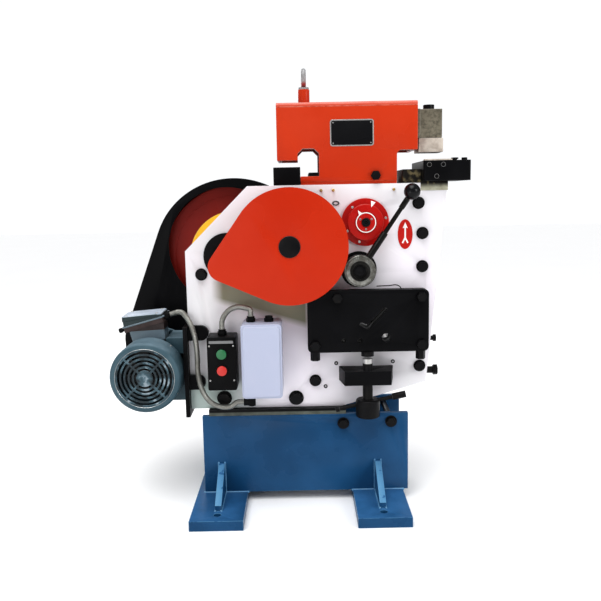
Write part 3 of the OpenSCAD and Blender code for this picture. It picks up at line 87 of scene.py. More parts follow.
def wire(tree, kind, inputs=None, **settings):
    """Adds a node: an input given as a socket is linked, any other value is set."""
    made = tree.nodes.new(kind)
    for key, value in settings.items():
        setattr(made, key, value)
    for key, value in (inputs or {}).items():
        if isinstance(value, bpy.types.NodeSocket):
            tree.links.new(value, made.inputs[key])
        else:
            made.inputs[key].default_value = value
    return made


room = bpy.data.worlds.new("white_room")
room.use_nodes = True
room_back = room.node_tree.nodes["Background"]
room_back.inputs["Color"].default_value = (0.97, 0.98, 1, 1)
lens_sees = wire(room.node_tree, "ShaderNodeLightPath").outputs["Is Camera Ray"]
room_glow = wire(room.node_tree, "ShaderNodeMapRange", {"Value": lens_sees, "To Min": 0.5, "To Max": 1.04})
room.node_tree.links.new(room_glow.outputs["Result"], room_back.inputs["Strength"])
scene.world = room
roof_data = bpy.data.lights.new("roof_light", "SUN")
roof_data.energy = 2.1
roof_data.angle = math.radians(45)
roof_light = bpy.data.objects.new("roof_light", roof_data)
roof_light.rotation_euler = (math.radians(24), math.radians(-10), 0)
scene.collection.objects.link(roof_light)


def lamp(name, at, target, size, watts):
    """A soft square lamp that faces a point."""
    data = bpy.data.lights.new(name, "AREA")
    data.size = size
    data.energy = watts
    shade = bpy.data.objects.new(name, data)
    shade.location = at
    shade.rotation_euler = (Vector(target) - Vector(at)).to_track_quat("-Z", "Y").to_euler()
    scene.collection.objects.link(shade)


lamp("key_lamp", (-1.5, -2.4, 0.9), (0, 0, 0.6), 1.4, 6)
lamp("right_lamp", (2.2, -1.6, 1.5), (0, 0, 0.6), 1.2, 25)
lamp("low_lamp", (-1.3, -2.0, 0.2), (0.1, 0, 0.5), 1.0, 6)
lamp("top_lamp", (0.1, -0.2, 2.9), (0, 0, 0.5), 1.6, 14)
lamp("back_lamp", (-0.6, 2.4, 1.8), (0, 0, 0.6), 1.4, 20)


def new_material(name):
    """A material with its node tree and its surface's inputs."""
    made = bpy.data.materials.new(name)
    made.use_nodes = True
    return made, made.node_tree, made.node_tree.nodes["Principled BSDF"].inputs


def own_place(tree):
    """The piece's own coordinates."""
    return wire(tree, "ShaderNodeTexCoord").outputs["Object"]


def noise(tree, place, scale, detail=3.0):
    """Cloudy noise over some coordinates."""
    return wire(
        tree, "ShaderNodeTexNoise", {"Vector": place, "Scale": scale, "Detail": detail}
    ).outputs["Fac"]


def blend_colours(tree, mask, first, second):
    """Mixes two colours by a mask."""
    return wire(tree, "ShaderNodeMix", {0: mask, 6: first, 7: second}, data_type="RGBA").outputs[2]


floor_half = 14
floor_mesh = bpy.data.meshes.new("pale_floor")
floor_form = bmesh.new()
bmesh.ops.create_grid(floor_form, x_segments=8, y_segments=8, size=floor_half)
floor_form.to_mesh(floor_mesh)
floor_form.free()
floor = bpy.data.objects.new("pale_floor", floor_mesh)
scene.collection.objects.link(floor)
pale, pale_tree, pale_surface = new_material("pale_floor")
pale_clouds = noise(pale_tree, own_place(pale_tree), 1.5)
pale_tone = blend_colours(pale_tree, pale_clouds, (0.96, 0.96, 0.96, 1), (0.985, 0.985, 0.985, 1))
pale_tree.links.new(pale_tone, pale_surface["Base Color"])
pale_surface["Roughness"].default_value = 0.6
floor_mesh.materials.append(pale)


# Welded base: two side plates on thick foot plates with gussets, all cut from steel plate.
# The seams are welded by hand, and one thick coat of blue machine enamel is brushed over them.
def new_group(name, inputs, outputs):
    """A shader node group with named sockets: numbers, or colours of three parts."""
    tree = bpy.data.node_groups.new(name, "ShaderNodeTree")
    for label, value in inputs.items():
        colour = isinstance(value, tuple)
        kind = "NodeSocketColor" if colour else "NodeSocketFloat"
        socket = tree.interface.new_socket(label, in_out="INPUT", socket_type=kind)
        socket.default_value = (*value, 1) if colour else value
    for label in outputs:
        kind = "NodeSocketColor" if label == "Colour" else "NodeSocketFloat"
        tree.interface.new_socket(label, in_out="OUTPUT", socket_type=kind)
    return tree, tree.nodes.new("NodeGroupInput").outputs, tree.nodes.new("NodeGroupOutput").inputs


def spread(tree, value, low, high, to_low=0.0, to_high=1.0):
    """Stretches the part of a value between low and high."""
    ends = {"Value": value, "From Min": low, "From Max": high, "To Min": to_low, "To Max": to_high}
    return wire(tree, "ShaderNodeMapRange", ends).outputs["Result"]


def maths(tree, operation, first, second=0.0):
    """One step of arithmetic."""
    return wire(tree, "ShaderNodeMath", {0: first, 1: second}, operation=operation).outputs["Value"]


def times(tree, first, second):
    """Product of two values."""
    return maths(tree, "MULTIPLY", first, second)


def plus(tree, first, second):
    """Sum of two values."""
    return maths(tree, "ADD", first, second)


def dot(tree, first, second):
    """How far one vector reaches along another."""
    return wire(tree, "ShaderNodeVectorMath", {0: first, 1: second}, operation="DOT_PRODUCT").outputs["Value"]


def edge_mark(tree):
    """Where a piece's edges are broken, and where its upward slopes take a painted highlight."""
    return wire(tree, "ShaderNodeAttribute", attribute_name="edge").outputs["Fac"]


enamel, given, result = new_group(
    "enamel_coat",
    {
        "Paint": (0.5, 0.5, 0.5), "Faded": (0.6, 0.6, 0.6), "Worn": (0.3, 0.3, 0.3),
        "Dust": (0.6, 0.58, 0.55), "Patch Scale": 5.0, "Peel Scale": 420.0,
        "Wear": 0.6, "Dusting": 0.25, "Dust From": 0.5, "Roughness": 0.35,
    },
    ("Colour", "Roughness", "Height"),
)
place = own_place(enamel)
patches = noise(enamel, place, given["Patch Scale"], 4.0)
chips = spread(enamel, noise(enamel, place, 70.0), 0.35, 0.55)
tint = blend_colours(enamel, spread(enamel, patches, 0.38, 0.68), given["Paint"], given["Faded"])
worn_mask = times(enamel, times(enamel, edge_mark(enamel), chips), given["Wear"])
worn = blend_colours(enamel, worn_mask, tint, given["Worn"])
facing = wire(enamel, "ShaderNodeSeparateXYZ", {0: wire(enamel, "ShaderNodeNewGeometry").outputs["Normal"]})
# Pale dust settles on upward faces; where it is laid on thick it is a painted highlight of lit tops.
dust_and_sheen = times(enamel, spread(enamel, facing.outputs["Z"], given["Dust From"], 1.0), given["Dusting"])
dust_and_sheen = times(enamel, dust_and_sheen, spread(enamel, noise(enamel, place, 22.0), 0.3, 0.7, 0.4))
enamel.links.new(blend_colours(enamel, dust_and_sheen, worn, given["Dust"]), result["Colour"])
rough = plus(enamel, given["Roughness"], spread(enamel, patches, 0.3, 0.7, -0.06, 0.08))
enamel.links.new(plus(enamel, rough, times(enamel, dust_and_sheen, 0.4)), result["Roughness"])
peel = noise(enamel, place, given["Peel Scale"], 1.0)
enamel.links.new(plus(enamel, peel, times(enamel, noise(enamel, place, 30.0), 2.0)), result["Height"])


def height_along(tree, way=(0.0, 0.0, 1.0)):
    """How far a point lies along a direction, upwards unless another is given."""
    return dot(tree, own_place(tree), way)


def finished(name, group, bump, coat=0.0, metallic=0.0, gloss=0.5, over=None, **values):
    """A material from a finish group; over(tree, colour) can lay one more tone on its colour."""
    made, tree, surface = new_material(name)
    inputs = {
        key.replace("_", " "): (*value, 1) if isinstance(value, tuple) else value
        for key, value in values.items()
    }
    film = wire(tree, "ShaderNodeGroup", inputs, node_tree=group)
    relief = wire(
        tree, "ShaderNodeBump",
        {"Strength": bump, "Distance": 0.3 * mm, "Height": film.outputs["Height"]},
    )
    colour = film.outputs["Colour"]
    tree.links.new(over(tree, colour) if over else colour, surface["Base Color"])
    tree.links.new(film.outputs["Roughness"], surface["Roughness"])
    tree.links.new(relief.outputs["Normal"], surface["Normal"])
    surface["Coat Weight"].default_value = coat
    surface["Coat Roughness"].default_value = 0.12
    surface["Metallic"].default_value = metallic
    surface["Specular IOR Level"].default_value = gloss
    return made


def linked(name, mesh, material):
    """Puts a mesh into the scene as a piece of one material."""
    piece = bpy.data.objects.new(name, mesh)
    scene.collection.objects.link(piece)
    mesh.materials.clear()
    mesh.materials.append(material)
    return piece


def settle(piece):
    """Turns a piece with its modifiers into a plain mesh."""
    depsgraph = bpy.context.evaluated_depsgraph_get()
    mesh = bpy.data.meshes.new_from_object(piece.evaluated_get(depsgraph))
    piece.modifiers.clear()
    piece.data = mesh
    return mesh


def break_edges(piece, width, segments=2):
    """Rounds the sharp edges of a piece."""
    bevel = piece.modifiers.new("broken_edges", "BEVEL")
    bevel.width = width
    bevel.segments = segments
    bevel.limit_method = "ANGLE"
    return bevel


seam = 0.004 * mm
round_from = math.radians(32)
flat_within = math.radians(0.4)


def rounded(node, width, material, segments=2, lightened=0.0):
    """A copy of a CAD solid with broken edges, which stands for that node; lightened paints its upward slopes
    light as a painted highlight.
    """
    source = frame["nodes"][node]
    shell = bmesh.new()
    shell.from_mesh(source.data)
    bmesh.ops.remove_doubles(shell, verts=shell.verts, dist=seam)
    bmesh.ops.dissolve_limit(shell, angle_limit=flat_within, verts=shell.verts, edges=shell.edges)
    mesh = bpy.data.meshes.new(node)
    shell.to_mesh(mesh)
    shell.free()
    mesh.shade_smooth()
    piece = linked(node + "_finished", mesh, material)
    mesh.materials.append(material)
    bevel = break_edges(piece, width, segments)
    bevel.angle_limit = round_from
    bevel.harden_normals = True
    bevel.material = 1
    mesh = settle(piece)
    marks = mesh.attributes.new("edge", "FLOAT", "FACE")
    for face in mesh.polygons:
        slope = lightened if 0.3 < face.normal.z < 0.95 else 0.0
        marks.data[face.index].value = max(face.material_index, slope)
        face.material_index = 0
    mesh.materials.pop()
    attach(piece, source["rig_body"])
    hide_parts(node)
    return piece


def dress(nodes, material):
    """Gives CAD nodes that stay as they are their material."""
    for node in nodes:
        slots = frame["nodes"][node].data.materials
        slots.clear()
        slots.append(material)


# The light worn blue marks the base's broken edges, partly as edge wear and partly as a painted highlight,
# and the feet's upward gusset slopes as a painted highlight.
blue_enamel = finished(
    "blue_enamel", enamel, 0.25, gloss=0.14, Paint=(0.008, 0.054, 0.134), Faded=(0.015, 0.08, 0.188),
    Worn=(0.115, 0.28, 0.42), Dust=(0.05, 0.17, 0.37), Patch_Scale=7.0, Wear=1.0, Dusting=0.6,
    Roughness=0.28,
)
for base_node in ("base_front_plate", "base_rear_plate"):
    rounded(base_node, 2.2 * mm, blue_enamel)
# The feet's gusset slopes are painted evenly light as a painted highlight.
for foot_node in ("left_foot", "right_foot"):
    rounded(foot_node, 1.6 * mm, blue_enamel, lightened=4.0)


def shape_tree(label, **kinds):
    """A Geometry Nodes tree with named inputs of some kinds and one mesh as its output."""
    tree = bpy.data.node_groups.new(label, "GeometryNodeTree")
    for name, kind in kinds.items():
        tree.interface.new_socket(name, in_out="INPUT", socket_type="NodeSocket" + kind)
    tree.interface.new_socket("Mesh", in_out="OUTPUT", socket_type="NodeSocketGeometry")
    return tree, tree.nodes.new("NodeGroupInput").outputs


def coated_output(tree, geometry, finish):
    """Ends a Geometry Nodes tree with a real mesh of one material."""
    real = wire(tree, "GeometryNodeRealizeInstances", {"Geometry": geometry}).outputs["Geometry"]
    coated = wire(tree, "GeometryNodeSetMaterial", {"Geometry": real, "Material": finish})
    wire(tree, "NodeGroupOutput", {"Mesh": coated.outputs["Geometry"]})


def grow(piece, tree, **values):
    """Runs a Geometry Nodes tree on a piece with values for its inputs, and keeps the mesh."""
    growth = piece.modifiers.new(tree.name, "NODES")
    growth.node_group = tree
    for socket in tree.interface.items_tree:
        if socket.name in values:
            growth[socket.identifier] = values[socket.name]
    settle(piece)


def set_along():
    """Geometry Nodes tree that sets a template at every point, turned by the point's own angles."""
    tree, given = shape_tree(
        "set_along_points", Points="Geometry", Template="Object", Size="Float", Finish="Material"
    )
    shape = wire(tree, "GeometryNodeObjectInfo", {"Object": given["Template"]})
    turn = wire(tree, "GeometryNodeInputNamedAttribute", {"Name": "turn"}, data_type="FLOAT_VECTOR")
    angles = wire(tree, "FunctionNodeEulerToRotation", {"Euler": turn.outputs["Attribute"]})
    placed = wire(
        tree, "GeometryNodeInstanceOnPoints",
        {
            "Points": given["Points"], "Instance": shape.outputs["Geometry"],
            "Rotation": angles.outputs["Rotation"], "Scale": given["Size"],
        },
    )
    coated_output(tree, placed.outputs["Instances"], given["Finish"])
    return tree


repeat_tree = set_along()
sharp_from = math.radians(38)


def repeated(name, template_mesh, places, material, body, size=1.0):
    """Like pieces, one at each (point, angles), as one mesh that moves with a body."""
    points = bpy.data.meshes.new(name)
    points.from_pydata([at for at, turn in places], [], [])
    turns = points.attributes.new("turn", "FLOAT_VECTOR", "POINT")
    for mark, (at, turn) in zip(turns.data, places):
        mark.vector = turn
    template = linked(name + "_template", template_mesh, material)
    piece = linked(name, points, material)
    grow(piece, repeat_tree, Template=template, Size=size, Finish=material)
    bpy.data.objects.remove(template)
    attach(piece, body)


def turned_form(profile, sides=24, capped=True, unit=mm):
    """A turned mesh about Z from (radius, height) pairs in a unit: a solid, or a ring if not capped."""
    form = bmesh.new()
    steps = [2 * math.pi * k / sides for k in range(sides)]
    rings = []
    for radius, height in profile:
        r, z = radius * unit, height * unit
        if r == 0:
            rings.append([form.verts.new((0, 0, z))])
        else:
            rings.append([form.verts.new((r * math.cos(a), r * math.sin(a), z)) for a in steps])
    for low, high in zip(rings, rings[1:]):
        for k in range(sides):
            corners = [low[k % len(low)], low[(k + 1) % sides % len(low)],
                       high[(k + 1) % sides % len(high)], high[k % len(high)]]
            form.faces.new(list(dict.fromkeys(corners)))
    for ring in (rings[0], rings[-1]) if capped else ():
        if len(ring) > 1:
            form.faces.new(ring)
    bmesh.ops.remove_doubles(form, verts=form.verts, dist=0.001 * mm)
    bmesh.ops.recalc_face_normals(form, faces=form.faces)
    mesh = bpy.data.meshes.new("turned_form")
    form.to_mesh(mesh)
    form.free()
    mesh.shade_smooth()
    mesh.set_sharp_from_angle(angle=sharp_from)
    return mesh


# Weld ripples: one lens-shaped drop every few millimetres along each seam of the base
weld_step = 3.2 * mm
ripple_r = 4.2
ripple_h = 2.2
ripple = turned_form(
    [(0, -ripple_h), (0.8 * ripple_r, -0.5 * ripple_h), (ripple_r, 0), (0.8 * ripple_r, 0.5 * ripple_h),
     (0, ripple_h)], 10,
)


def seam_places(start, end, lean):
    """Weld places from start to end, each drop leaning as the torch was held."""
    start = Vector(start)
    end = Vector(end)
    count = int((end - start).length / weld_step)
    return [(start.lerp(end, k / count), lean) for k in range(count + 1)]


base_low, base_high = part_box("base_front_plate")
base_face = -base_low.y
gusset_half = 8 * mm
gusset_end = 205 * mm
gusset_top = 79 * mm
weld_places = []
for foot_node in ("left_foot", "right_foot"):
    foot_low, foot_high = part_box(foot_node)
    seam_x0 = max(foot_low.x, base_low.x)
    seam_x1 = min(foot_high.x, base_high.x)
    for side in (1, -1):
        weld_y = side * base_low.y
        weld_places += seam_places(
            (seam_x0, weld_y, base_low.z), (seam_x1, weld_y, base_low.z), (side * math.pi / 4, 0, 0)
        )
    foot_mid = (foot_low.x + foot_high.x) / 2
    for across, along in ((-1, -1), (-1, 1), (1, -1), (1, 1)):
        gusset_x = foot_mid + across * gusset_half
        weld_places += seam_places(
            (gusset_x, along * base_face, base_low.z), (gusset_x, along * gusset_end, base_low.z),
            (0, across * math.pi / 4, 0),
        )
        weld_places += seam_places(
            (gusset_x, along * base_face, base_low.z),
            (gusset_x, along * base_face, base_low.z + gusset_top), (math.pi / 2, 0, math.pi / 4),
        )
# The welds' enamel is a lighter blue than the base's, as a painted highlight on the beads.
lit_weld_enamel = finished(
    "lit_weld_enamel", enamel, 0.25, gloss=0.3, Paint=(0.06, 0.18, 0.34), Faded=(0.13, 0.3, 0.47),
    Worn=(0.2, 0.4, 0.55), Dust=(0.2, 0.4, 0.56), Patch_Scale=40.0, Dusting=0.6, Roughness=0.28,
)
repeated("base_welds", ripple, weld_places, lit_weld_enamel, "frame")


# Frame: two thick flame-cut side plates, ground flat and sprayed white, held apart by spacer tubes.
# Black bolts with washers go right through; the bed plate under them is black.
def cover_shadow_and_greying(tree, paint):
    """Paints the gear cover's cast shadow in olive on the plate under it, and turns the plate grey-green
    towards the lower left by the starter box.
    """
    across = height_along(tree, (1.0, 0.0, 0.0))
    height = height_along(tree)
    low = spread(tree, height, 350 * mm, 310 * mm)
    left = spread(tree, across, -90 * mm, -190 * mm, 0.0, 0.9)
    greyed = blend_colours(tree, times(tree, low, left), paint, (0.4, 0.49, 0.45, 1))
    shadow_up = (0.29, 0.0, 0.957)
    cover_shadow = spread(tree, height_along(tree, shadow_up), 438 * mm, 456 * mm, 0.0, 0.95)
    for along, outside, inside in ((height, 585, 575), (across, -215, -185), (across, 30, 20)):
        cover_shadow = times(tree, cover_shadow, spread(tree, along, outside * mm, inside * mm))
    return blend_colours(tree, cover_shadow, greyed, (0.21, 0.21, 0.13, 1))


white_tones = {
    "Paint": (0.81, 0.76, 0.82), "Faded": (0.7, 0.7, 0.71), "Worn": (0.5, 0.48, 0.47),
    "Dust": (0.7, 0.69, 0.68), "Patch_Scale": 3.0, "Wear": 0.4, "Dusting": 0.3, "Roughness": 0.38,
}
white_enamel = finished("white_enamel", enamel, 0.12, coat=0.1, gloss=0.4, **white_tones)
# The front plate's enamel carries the gear cover's painted shadow.
painted_shadow_enamel = finished(
    "painted_shadow_enamel", enamel, 0.12, coat=0.1, gloss=0.4, over=cover_shadow_and_greying, **white_tones
)
black_enamel = finished(
    "black_enamel", enamel, 0.3, gloss=0.06, Paint=(0.003, 0.003, 0.0035), Faded=(0.005, 0.005, 0.006),
    Worn=(0.06, 0.06, 0.06), Dust=(0.03, 0.03, 0.03), Patch_Scale=9.0, Wear=0.55, Dusting=0.3,
    Roughness=0.36,
)


def filler_strip(tree, paint):
    """Grey-green filler shows along the lower half of the bed plate's edge."""
    filler = blend_colours(
        tree, noise(tree, own_place(tree), 45.0), (0.03, 0.034, 0.027, 1), (0.16, 0.175, 0.15, 1)
    )
    return blend_colours(tree, spread(tree, height_along(tree), 240 * mm, 238 * mm), paint, filler)


bed_paint = finished(
    "bed_paint", enamel, 0.3, gloss=0.1, over=filler_strip, Paint=(0.003, 0.003, 0.0035),
    Faded=(0.005, 0.005, 0.006), Worn=(0.06, 0.06, 0.06), Dust=(0.03, 0.03, 0.03), Roughness=0.4,
)
rounded("front_plate", 1.2 * mm, painted_shadow_enamel)
rounded("rear_plate", 1.2 * mm, white_enamel)
rounded("bed_plate", 1.2 * mm, bed_paint)

steel, given, result = new_group(
    "worked_steel",
    {
        "Steel": (0.5, 0.5, 0.5), "Stain": (0.3, 0.28, 0.25), "Bright": (0.75, 0.75, 0.74),
        "Grain Scale": 300.0, "Stain Scale": 14.0, "Staining": 0.6, "Roughness": 0.35,
    },
    ("Colour", "Roughness", "Height"),
)
place = own_place(steel)
stretched = wire(steel, "ShaderNodeMapping", {"Vector": place, "Scale": (1.0, 1.0, 0.08)}).outputs["Vector"]
grain = noise(steel, stretched, given["Grain Scale"], 2.0)
stains = spread(steel, noise(steel, place, given["Stain Scale"], 5.0), 0.42, 0.66)
stained = blend_colours(steel, times(steel, stains, given["Staining"]), given["Steel"], given["Stain"])
steel.links.new(
    blend_colours(steel, times(steel, edge_mark(steel), 0.6), stained, given["Bright"]), result["Colour"]
)
rough = plus(steel, given["Roughness"], spread(steel, grain, 0.3, 0.7, -0.07, 0.07))
steel.links.new(plus(steel, rough, times(steel, stains, 0.12)), result["Roughness"])
steel.links.new(grain, result["Height"])

black_oxide = finished(
    "black_oxide", steel, 0.2, metallic=0.6, gloss=0.15, Steel=(0.008, 0.008, 0.009),
    Stain=(0.014, 0.013, 0.012), Bright=(0.12, 0.12, 0.12), Stain_Scale=40.0, Roughness=0.36,
)
dark_steel = finished(
    "dark_steel", steel, 0.25, metallic=0.85, Steel=(0.11, 0.11, 0.115), Stain=(0.07, 0.06, 0.05),
    Bright=(0.3, 0.3, 0.3), Roughness=0.42,
)
ground_steel = finished(
    "ground_steel", steel, 0.2, metallic=0.9, Steel=(0.5, 0.5, 0.49), Stain=(0.34, 0.32, 0.29),
    Bright=(0.7, 0.7, 0.7), Roughness=0.3,
)
dress(("machine_bolts", "side_adjusters"), black_oxide)
dress(("frame_spacers",), dark_steel)
plate_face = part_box("front_plate")[0].y
facing_front = (math.pi / 2, 0, 0)


def on_front(x, z, y=plate_face):
    """A place on a front face, in millimetres across and up, facing the viewer."""
    return (Vector((x * mm, y, z * mm)), facing_front)


# Brass oil nipples pressed into the plate, and small socket screws
brass = finished(
    "turned_brass", steel, 0.15, metallic=0.95, Steel=(0.58, 0.4, 0.14), Stain=(0.3, 0.2, 0.08),
    Bright=(0.8, 0.62, 0.3), Stain_Scale=60.0, Roughness=0.3,
)
nipple_r = 3.6 * mm
nipple_form = turned_form(
    [(0, -1), (1, -1), (1, 0.6), (0.55, 0.9), (0.55, 1.4), (0.8, 1.8), (0.5, 2.3), (0, 2.4)], unit=nipple_r
)
nipple_places = [on_front(x, z) for x, z in ((66, 798), (96, 798), (246, 797))]
repeated("oil_nipples", nipple_form, nipple_places, brass, "frame")
screw_r = 5 * mm
screw_form = turned_form(
    [(0, -1), (1, -1), (1, 0.25), (0.85, 0.4), (0.5, 0.4), (0.5, -0.3), (0, -0.3)], unit=screw_r
)
plate_screw_places = [on_front(x, z) for x, z in ((98, 360), (243, 362), (70, 300))]
repeated("plate_screws", screw_form, plate_screw_places, black_oxide, "frame")


def round_about(x, z, radius, turns):
    """Points on a circle, at angles in degrees."""
    ways = [math.radians(turn) for turn in turns]
    return [(x + radius * math.cos(way), z + radius * math.sin(way)) for way in ways]


def soft_box(x0, x1, z0, z1, r):
    """Outline of a rectangle with round corners."""
    outline = []
    for x, z, start in (
        (x1 - r, z1 - r, 0), (x0 + r, z1 - r, 90), (x0 + r, z0 + r, 180), (x1 - r, z0 + r, 270)
    ):
        outline += round_about(x, z, r, [start + 90 * k / 8 for k in range(9)])
    return outline


def oval(x, z, half_w, half_h, steps=40):
    """Outline of an ellipse."""
    angles = [2 * math.pi * k / steps for k in range(steps)]
    return [(x + half_w * math.cos(a), z + half_h * math.sin(a)) for a in angles]


def sheet_piece(name, outline, face, thick, material, body, edge_width=0.3 * mm, hole=None):
    """A flat piece with broken edges on a front face; outline in millimetres, with an optional hole."""
    form = bmesh.new()
    rims = [outline] + ([hole] if hole else [])
    loops = [[form.verts.new((x * mm, face - thick, z * mm)) for x, z in rim] for rim in rims]
    lines = [form.edges.new((loop[k - 1], loop[k])) for loop in loops for k in range(len(loop))]
    bmesh.ops.triangle_fill(form, edges=lines, use_beauty=True, normal=(0, -1, 0))
    top = list(form.faces)
    grown = bmesh.ops.extrude_face_region(form, geom=top, use_keep_orig=True)
    back = [v for v in grown["geom"] if isinstance(v, bmesh.types.BMVert)]
    bmesh.ops.translate(form, verts=back, vec=(0, thick, 0))
    bmesh.ops.recalc_face_normals(form, faces=form.faces)
    bmesh.ops.dissolve_limit(form, angle_limit=flat_within, verts=form.verts, edges=form.edges)
    mesh = bpy.data.meshes.new(name)
    form.to_mesh(mesh)
    form.free()
    piece = linked(name, mesh, material)
    break_edges(piece, edge_width)
    settle(piece)
    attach(piece, body)
    return piece


# Oval red sign with a plain arrow for the lever, and a steel eyelet under the oil nipples
sign_x = 274
sign_z = 686
sign_half_w = 18.5
sign_half_h = 37
sign_t = 1.2 * mm
mark_t = 0.4 * mm
mark_edge = 0.1 * mm
sign_red = finished(
    "sign_red", enamel, 0.05, gloss=0.15, Paint=(0.45, 0.008, 0.006), Faded=(0.5, 0.02, 0.012),
    Worn=(0.6, 0.3, 0.3), Roughness=0.3,
)
sign_white = finished(
    "sign_white", enamel, 0.05, coat=0.2, Paint=(0.85, 0.84, 0.82), Faded=(0.78, 0.77, 0.75),
    Worn=(0.6, 0.58, 0.55),
)
sign_outline = oval(sign_x, sign_z, sign_half_w, sign_half_h)
sheet_piece("arrow_sign", sign_outline, plate_face, sign_t, sign_red, "frame")
arrow_half = [(0, 30), (6.5, 15), (2, 16), (2, -8), (8.5, -21), (5, -23), (0, -13)]
arrow_outline = [(sign_x + x, sign_z + z) for x, z in arrow_half]
arrow_outline += [(sign_x - x, sign_z + z) for x, z in reversed(arrow_half[1:-1])]
sheet_piece(
    "arrow_mark", arrow_outline, plate_face - sign_t, mark_t, sign_white, "frame", mark_edge
)
eyelet_x = 102
eyelet_z = 766
eyelet_t = 2 * mm
sheet_piece(
    "plug_eyelet", oval(eyelet_x, eyelet_z, 9, 6), plate_face, eyelet_t, dark_steel, "frame",
    0.6 * mm, oval(eyelet_x, eyelet_z, 5.5, 3),
)


# Hood over the rocker's beam: two flame-cut walls under a bent top, bolted to the plates.
# Orange-red machine enamel; a turned post carries the forged lifting eye.
hood_enamel = finished(
    "hood_enamel", enamel, 0.14, gloss=0.14, Paint=(0.47, 0.033, 0.006), Faded=(0.52, 0.044, 0.011),
    Worn=(0.6, 0.14, 0.08), Dust=(0.7, 0.3, 0.22), Wear=0.4, Dusting=0.35,
    Roughness=0.28,
)
# The hood's top takes thick pale dust on almost every upward face, partly dust and partly a painted highlight
# along its bend.
hood_top_enamel = finished(
    "hood_top_enamel", enamel, 0.14, coat=0.2, gloss=0.3, Paint=(0.5, 0.05, 0.02), Faded=(0.55, 0.07, 0.03),
    Worn=(0.7, 0.27, 0.2), Dust=(0.72, 0.33, 0.28), Dusting=0.8, Dust_From=0.02,
)
for hood_node in ("hood_front", "hood_rear", "lifting_post"):
    rounded(hood_node, 1.4 * mm, hood_enamel, 3)
rounded("hood_top", 1.4 * mm, hood_top_enamel, 3)


def shank_paint(tree, colour):
    """Red paint has run over the eye's shank, above its collar."""
    height = height_along(tree)
    low = spread(tree, height, 1068 * mm, 1062 * mm)
    over_collar = spread(tree, height, 1055 * mm, 1056 * mm)
    return blend_colours(tree, times(tree, low, over_collar), colour, (0.32, 0.06, 0.06, 1))


eye_zinc = finished(
    "eye_zinc", steel, 0.3, metallic=0.3, gloss=0.3, over=shank_paint, Steel=(0.34, 0.34, 0.345),
    Stain=(0.22, 0.215, 0.21), Bright=(0.6, 0.6, 0.6), Stain_Scale=90.0, Roughness=0.5,
)
dress(("lifting_eye",), eye_zinc)

# Data plate, left bare: black field in a light metal rim, held by four drive rivets
hood_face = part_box("hood_front")[0].y
data_x0, data_x1, data_z0, data_z1 = 90, 197, 904, 968
data_rim = 3
rivet_in = 7.5
data_plate_t = 1.2 * mm
data_field_t = 0.3 * mm
sheet_piece(
    "data_plate", soft_box(data_x0, data_x1, data_z0, data_z1, 6), hood_face, data_plate_t, ground_steel,
    "frame",
)
bare_black = finished(
    "bare_black", enamel, 0.05, gloss=0.12, Paint=(0.004, 0.004, 0.005), Faded=(0.008, 0.008, 0.009),
    Worn=(0.2, 0.2, 0.2), Roughness=0.3,
)
sheet_piece(
    "data_field", soft_box(data_x0 + data_rim, data_x1 - data_rim, data_z0 + data_rim, data_z1 - data_rim, 4),
    hood_face - data_plate_t, data_field_t, bare_black, "frame", mark_edge,
)
rivet_r = 1.9 * mm
rivet_form = turned_form([(0, -1), (1, -1), (1, 0), (0.75, 0.45), (0, 0.65)], 14, unit=rivet_r)
rivet_places = [
    on_front(x, z, hood_face - data_plate_t - data_field_t)
    for x in (data_x0 + rivet_in, data_x1 - rivet_in)
    for z in (data_z0 + rivet_in, data_z1 - rivet_in)
]
repeated("plate_rivets", rivet_form, rivet_places, ground_steel, "frame")


# Gear drive: a pressed red cover on three pads over the crank gear and its pinion.
# Gears are cut steel, oiled; the black flanges hold bronze bushes in the plates.
cover_enamel = finished(
    "cover_enamel", enamel, 0.12, gloss=0.14, Paint=(0.44, 0.022, 0.003), Faded=(0.49, 0.031, 0.007),
    Worn=(0.6, 0.15, 0.09), Dust=(0.7, 0.3, 0.24), Patch_Scale=3.5, Wear=0.5, Dusting=0.2,
    Roughness=0.28,
)
rounded("gear_cover", 2.4 * mm, cover_enamel, 4)
wheel_low, wheel_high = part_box("flywheel")
wheel_mid = (wheel_low + wheel_high) / 2
wheel_r = (wheel_high.x - wheel_low.x) / 2


def from_axle(corner):
    """How a mesh's corner lies from the pinion's axle, seen from the front."""
    return Vector((corner.co.x - wheel_mid.x, 0, corner.co.z - wheel_mid.z))


# The front flange is bored off its middle, so that it rises above the cover's small end
flange_lift = Vector((-4, 0, 18)) * mm
flange_bore = 48 * mm
flange_reach = 75 * mm
for corner in rounded("bearing_flanges", 0.8 * mm, black_enamel).data.vertices:
    if corner.co.y < plate_face + 1 * mm and flange_bore < from_axle(corner).length < flange_reach:
        corner.co += flange_lift
rounded("crank_shaft", 1.0 * mm, black_oxide)
dress(("crank_gear", "pinion_shaft", "motor_pulley"), dark_steel)
dress(("bronze_bushes",), brass)


# Flywheel: a turned iron casting, painted dark red, with a yellow hub plate bolted to its web.
# Two wedge belts of black rubber drive it inside a sheet-metal guard.
flywheel_enamel = finished(
    "flywheel_enamel", enamel, 0.2, gloss=0.12, Paint=(0.18, 0.009, 0.006), Faded=(0.23, 0.014, 0.009),
    Worn=(0.3, 0.14, 0.1), Dust=(0.25, 0.1, 0.08), Patch_Scale=8.0, Roughness=0.4,
)
yellow_enamel = finished(
    "yellow_enamel", enamel, 0.15, gloss=0.25, Paint=(0.95, 0.5, 0.008), Faded=(1.0, 0.58, 0.03),
    Worn=(0.8, 0.6, 0.2), Dust=(0.7, 0.55, 0.3), Patch_Scale=9.0, Roughness=0.34,
)
rounded("flywheel", 1.5 * mm, flywheel_enamel)
hub_growth = 0.035
for corner in rounded("flywheel_hub", 1.2 * mm, yellow_enamel).data.vertices:
    if from_axle(corner).length > 0.5 * wheel_r:
        corner.co += hub_growth * from_axle(corner)
